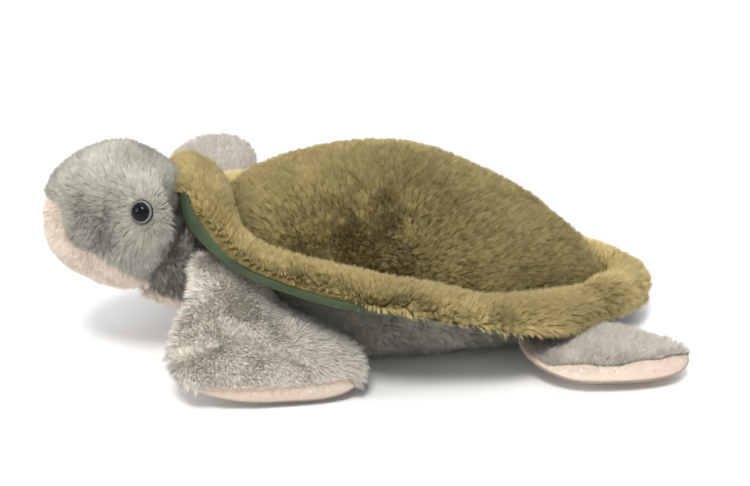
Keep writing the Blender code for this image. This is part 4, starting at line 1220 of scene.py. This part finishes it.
# -------------------------------------------------------------------- flippers
def make_flipper(name, spec, side, seed, creases=(), grow=0.0020, tone=0.10):
    sides = 132
    outline = closed_curve_through(spec["outline"], sides)
    middle = np.array(spec["centre"])
    hx, hy, hz = spec["hinge"]
    slope = math.radians(spec["slope"])
    origin = np.array([hx, side * hy, hz])
    along = np.array([1.0, 0, 0])
    outward = np.array([0, side * math.cos(slope), -math.sin(slope)])
    normal = np.array([0, side * math.sin(slope), math.cos(slope)])
    depth = 0.0034
    loop = offset_loop(outline, grow)
    for _ in range(3):
        loop = (np.roll(loop, 1, 0) + np.roll(loop, -1, 0) + 2 * loop) / 4
    thick = spec["thick"] - depth
    steps = np.concatenate([np.linspace(0, 0.86, 18), np.sin(np.linspace(0, 1, 9)[1:]
                                                             * math.pi / 2) * 0.14 + 0.86])
    grids = []
    for upper in (True, False):
        rings = []
        for r in steps:
            flat = middle + r * (loop - middle)
            h = np.full(len(flat), 0.0002) + (thick - 0.0002) * (1 - min(r, 1) ** 2.6) ** 0.62
            q = flat[:, 1]
            root = spec.get("root", ROOT_R - 0.002)
            limit = np.sqrt(np.maximum(root**2 - np.minimum(q, 0) ** 2, 1e-8))
            h = np.where(q < 0, np.minimum(h, limit), h)
            if upper:
                for (ax, ay), (bx, by), deep, wide in creases:
                    a, b = np.array([ax, ay]), np.array([bx, by])
                    t = np.clip(((flat - a) @ (b - a)) / ((b - a) @ (b - a)), 0, 1)
                    d = np.linalg.norm(flat - (a + t[:, None] * (b - a)), axis=1)
                    h = h - deep * np.exp(-(d / wide) ** 2) * np.sin(math.pi * (0.08 + 0.84 * t))
            p = origin + along * flat[:, :1] + outward * q[:, None] \
                + normal * (h if upper else -h)[:, None]
            rings.append(p)
        grids.append(np.array(rings))
    grid = np.concatenate([grids[0], grids[1][::-1][1:]])
    lumps = noise(grid.reshape(-1, 3), 0.020, seed).reshape(grid.shape[:2])
    fade = np.concatenate([1 - steps**4, (1 - steps**4)[::-1][1:]])
    way = np.where((np.arange(len(grid)) < len(steps)), 1, -1)
    grid = grid + normal * (0.0010 * lumps * (fade * way)[:, None])[..., None]
    verts, tris = closed_grid(grid)
    verts[:, 2] = np.maximum(verts[:, 2], 0.0016)
    skin = Skin(verts, tris)

    def local(p):
        q = p - origin
        return q @ along, q @ outward, q @ normal

    lp, lq, lh = local(skin.middle)
    seam_shift = spec.get("seam", 0.0)

    def top_side(p, q, h):
        """Grey above the seam; the seam lies a little up the outer edge."""
        k = smooth01(q, *spec.get("band", (0.026, 0.046)))
        if "band_ends" in spec:
            k = k * smooth01(p, *spec["band_ends"][0]) * smooth01(p, *spec["band_ends"][1])
        if "front_band" in spec:
            k = np.minimum(k + smooth01(-p, *spec["front_band"]), 1)
        return h > (seam_shift + 0.0035) * k - 0.0035

    top = top_side(lp, lq, lh)
    pad = mesh_object("flipper_pad_" + name, verts, tris, [GREY_BACK, PALE_BACK],
                      face_mat=np.where(top, 0, 1))
    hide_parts(*[f"flipper_{name}_{part}" for part in ("top", "bottom", "fill")])

    def flow(p, n):
        a, b, _h = local(p)
        flat = np.stack([a, b], axis=1) - np.array([middle[0] * 0.45, -0.034])
        out = unit(along * flat[:, :1] + outward * flat[:, 1:2])
        out = out - n * np.einsum("ij,ij->i", out, n)[:, None]
        return 0.34 * out + 0.16 * np.cross(n, noise_vec(p, 0.022, seed + 3))

    def keep_top(p, rng):
        return top_side(*local(p))

    def keep_under(p, rng):
        a, b, h = local(p)
        return ~top_side(a, b, h) & (h > -0.0052)

    def near_crease(p):
        a, b, h = local(p)
        flat = np.stack([a, b], axis=1)
        total = np.zeros(len(p))
        for (ax, ay), (bx, by), deep, wide in creases:
            s, e = np.array([ax, ay]), np.array([bx, by])
            t = np.clip(((flat - s) @ (e - s)) / ((e - s) @ (e - s)), 0, 1)
            d = np.linalg.norm(flat - (s + t[:, None] * (e - s)), axis=1)
            total = np.maximum(total, np.exp(-(d / (wide * 0.50)) ** 2) * (h > 0)
                               * np.sin(math.pi * (0.1 + 0.8 * t)))
        return total

    # painted shade: the pile's tone drops along the creases (near_crease), besides each flipper's own tone
    # offset
    grey = pile("pile_" + name + "_top", skin, [GREY_WARM_LIT], per_mm2=5.8 * PILE_SHARE, length=0.0056,
                width=0.00037, seed=seed, segments=1, pull=0.30, flow=flow, keep=keep_top, clump=0.0024,
                clump_noise=0.14, soft=0.5,
                length_at=lambda p: 1 - 0.40 * near_crease(p),
                tone=lambda p: tone - 0.80 * near_crease(p), cloud=0.06, lean_noise=0.17,
                mask=(lh > -0.006).astype(float))
    pale = pile("pile_" + name + "_under", skin, [PALE], per_mm2=6.6 * PILE_SHARE, length=0.0013,
                width=0.00030, tone=lambda p: np.full(len(p), -0.30), soft=0.8, pull=0.0, clump=0.0016, seed=seed + 1, flow=flow, keep=keep_under, clump_noise=0.12,
                lean_noise=0.12, mask=(abs(lh) < 0.007).astype(float), segments=1)
    for objects, s in (([pad], "grey_plush"), (grey, "grey_plush"), (pale, "pale_plush")):
        for obj in objects:
            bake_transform(obj)


# ------------------------------------------------------------- stage and camera
def make_stage():
    mesh = bpy.data.meshes.new("floor")
    s = 6.0
    mesh.from_pydata([(-s, -s, 0), (s, -s, 0), (s, s, 0), (-s, s, 0)], [], [(0, 1, 2, 3)])
    floor = bpy.data.objects.new("floor", mesh)
    bpy.context.scene.collection.objects.link(floor)
    mat, _tree, shader = new_material("floor_pale")
    shader.inputs["Base Color"].default_value = (0.92, 0.92, 0.92, 1)
    shader.inputs["Roughness"].default_value = 0.9
    shader.inputs["Specular IOR Level"].default_value = 0.1
    mesh.materials.append(mat)

    world = bpy.data.worlds.new("studio")
    world.use_nodes = True
    world.node_tree.nodes["Background"].inputs["Color"].default_value = (1.0, 1.0, 1.0, 1)
    world.node_tree.nodes["Background"].inputs["Strength"].default_value = 0.74
    bpy.context.scene.world = world

    for name, toward, angle, power, tint in (
            ("key", (-0.24, -0.66, 1.00), 16.0, 2.1, (1.0, 0.985, 0.96)),
            ("top", (0.10, -0.10, 1.0), 80.0, 0.8, (1.0, 1.0, 1.0))):
        data = bpy.data.lights.new(name, "SUN")
        data.angle = math.radians(angle)
        data.energy = power
        data.color = tint
        lamp = bpy.data.objects.new(name, data)
        bpy.context.scene.collection.objects.link(lamp)
        lamp.location = Vector(toward)
        lamp.rotation_mode = "QUATERNION"
        lamp.rotation_quaternion = (-Vector(toward)).to_track_quat("-Z", "Y")

    # a low window-like panel in front, and a small lamp that catches in the eyes
    look_at = Vector(np.array([-0.10, -0.02, 0.07]) + SHIFT)
    for name, offset, size_x, size_y, power in (
            ("panel", (-1.28, -0.35, 0.55), 0.60, 0.60, 4.6),
            ("catch", (0.66, -0.68, 1.26), 0.09, 0.09, 0.80)):
        data = bpy.data.lights.new(name, "AREA")
        data.shape = "RECTANGLE"
        data.size, data.size_y = size_x, size_y
        data.energy = power
        lamp = bpy.data.objects.new(name, data)
        bpy.context.scene.collection.objects.link(lamp)
        lamp.visible_camera = False
        lamp.location = look_at + Vector(offset)
        lamp.rotation_mode = "QUATERNION"
        lamp.rotation_quaternion = (-Vector(offset)).to_track_quat("-Z", "Y")

    a, e = math.radians(-12.0), math.radians(21.0)
    back = np.array([math.sin(a) * math.cos(e), -math.cos(a) * math.cos(e), math.sin(e)])
    target = np.array([-0.0157, 0.0, 0.06]) + SHIFT
    data = bpy.data.cameras.new("camera")
    data.lens, data.sensor_width = 100.0, 36.0
    camera = bpy.data.objects.new("camera", data)
    bpy.context.scene.collection.objects.link(camera)
    camera.location = Vector(target + back * 1.30)
    camera.rotation_mode = "QUATERNION"
    camera.rotation_quaternion = Vector(-back).to_track_quat("-Z", "Y")
    bpy.context.scene.camera = camera
    bpy.context.scene.view_settings.view_transform = "Standard"


PILE_SHARE = 1.0
make_stage()
make_shell()
make_body()
make_head()
make_neck()
FRONT_LEFT["seam"], FRONT_LEFT["band"] = 0.0052, (0.0565, 0.0655)
FRONT_LEFT["band_ends"], FRONT_LEFT["root"] = ((-0.0280, -0.0160), (0.0760, 0.0640)), 0.0180
REAR["seam"], REAR["band"], REAR["front_band"] = 0.0048, (0.0290, 0.0460), (0.0130, 0.0225)
# the tone offsets are painted light and shade: the near front flipper is lighter, painted light, and the
# far front flipper darker, painted shade, than the rear ones
make_flipper("front_left", FRONT_LEFT, -1, 51, grow=0.0006, tone=0.42, creases=(
    ((-0.0345, 0.0362), (-0.0080, 0.0400), 0.0040, 0.0022),
    ((-0.0060, 0.0225), (0.0150, 0.0395), 0.0044, 0.0026),
    ((0.0150, 0.0395), (0.0420, 0.0545), 0.0036, 0.0024)))
make_flipper("front_right", FRONT_RIGHT, 1, 61, tone=-0.34)
make_flipper("rear_left", REAR, -1, 71, tone=0.06)
make_flipper("rear_right", REAR_RIGHT, 1, 81, tone=0.06)
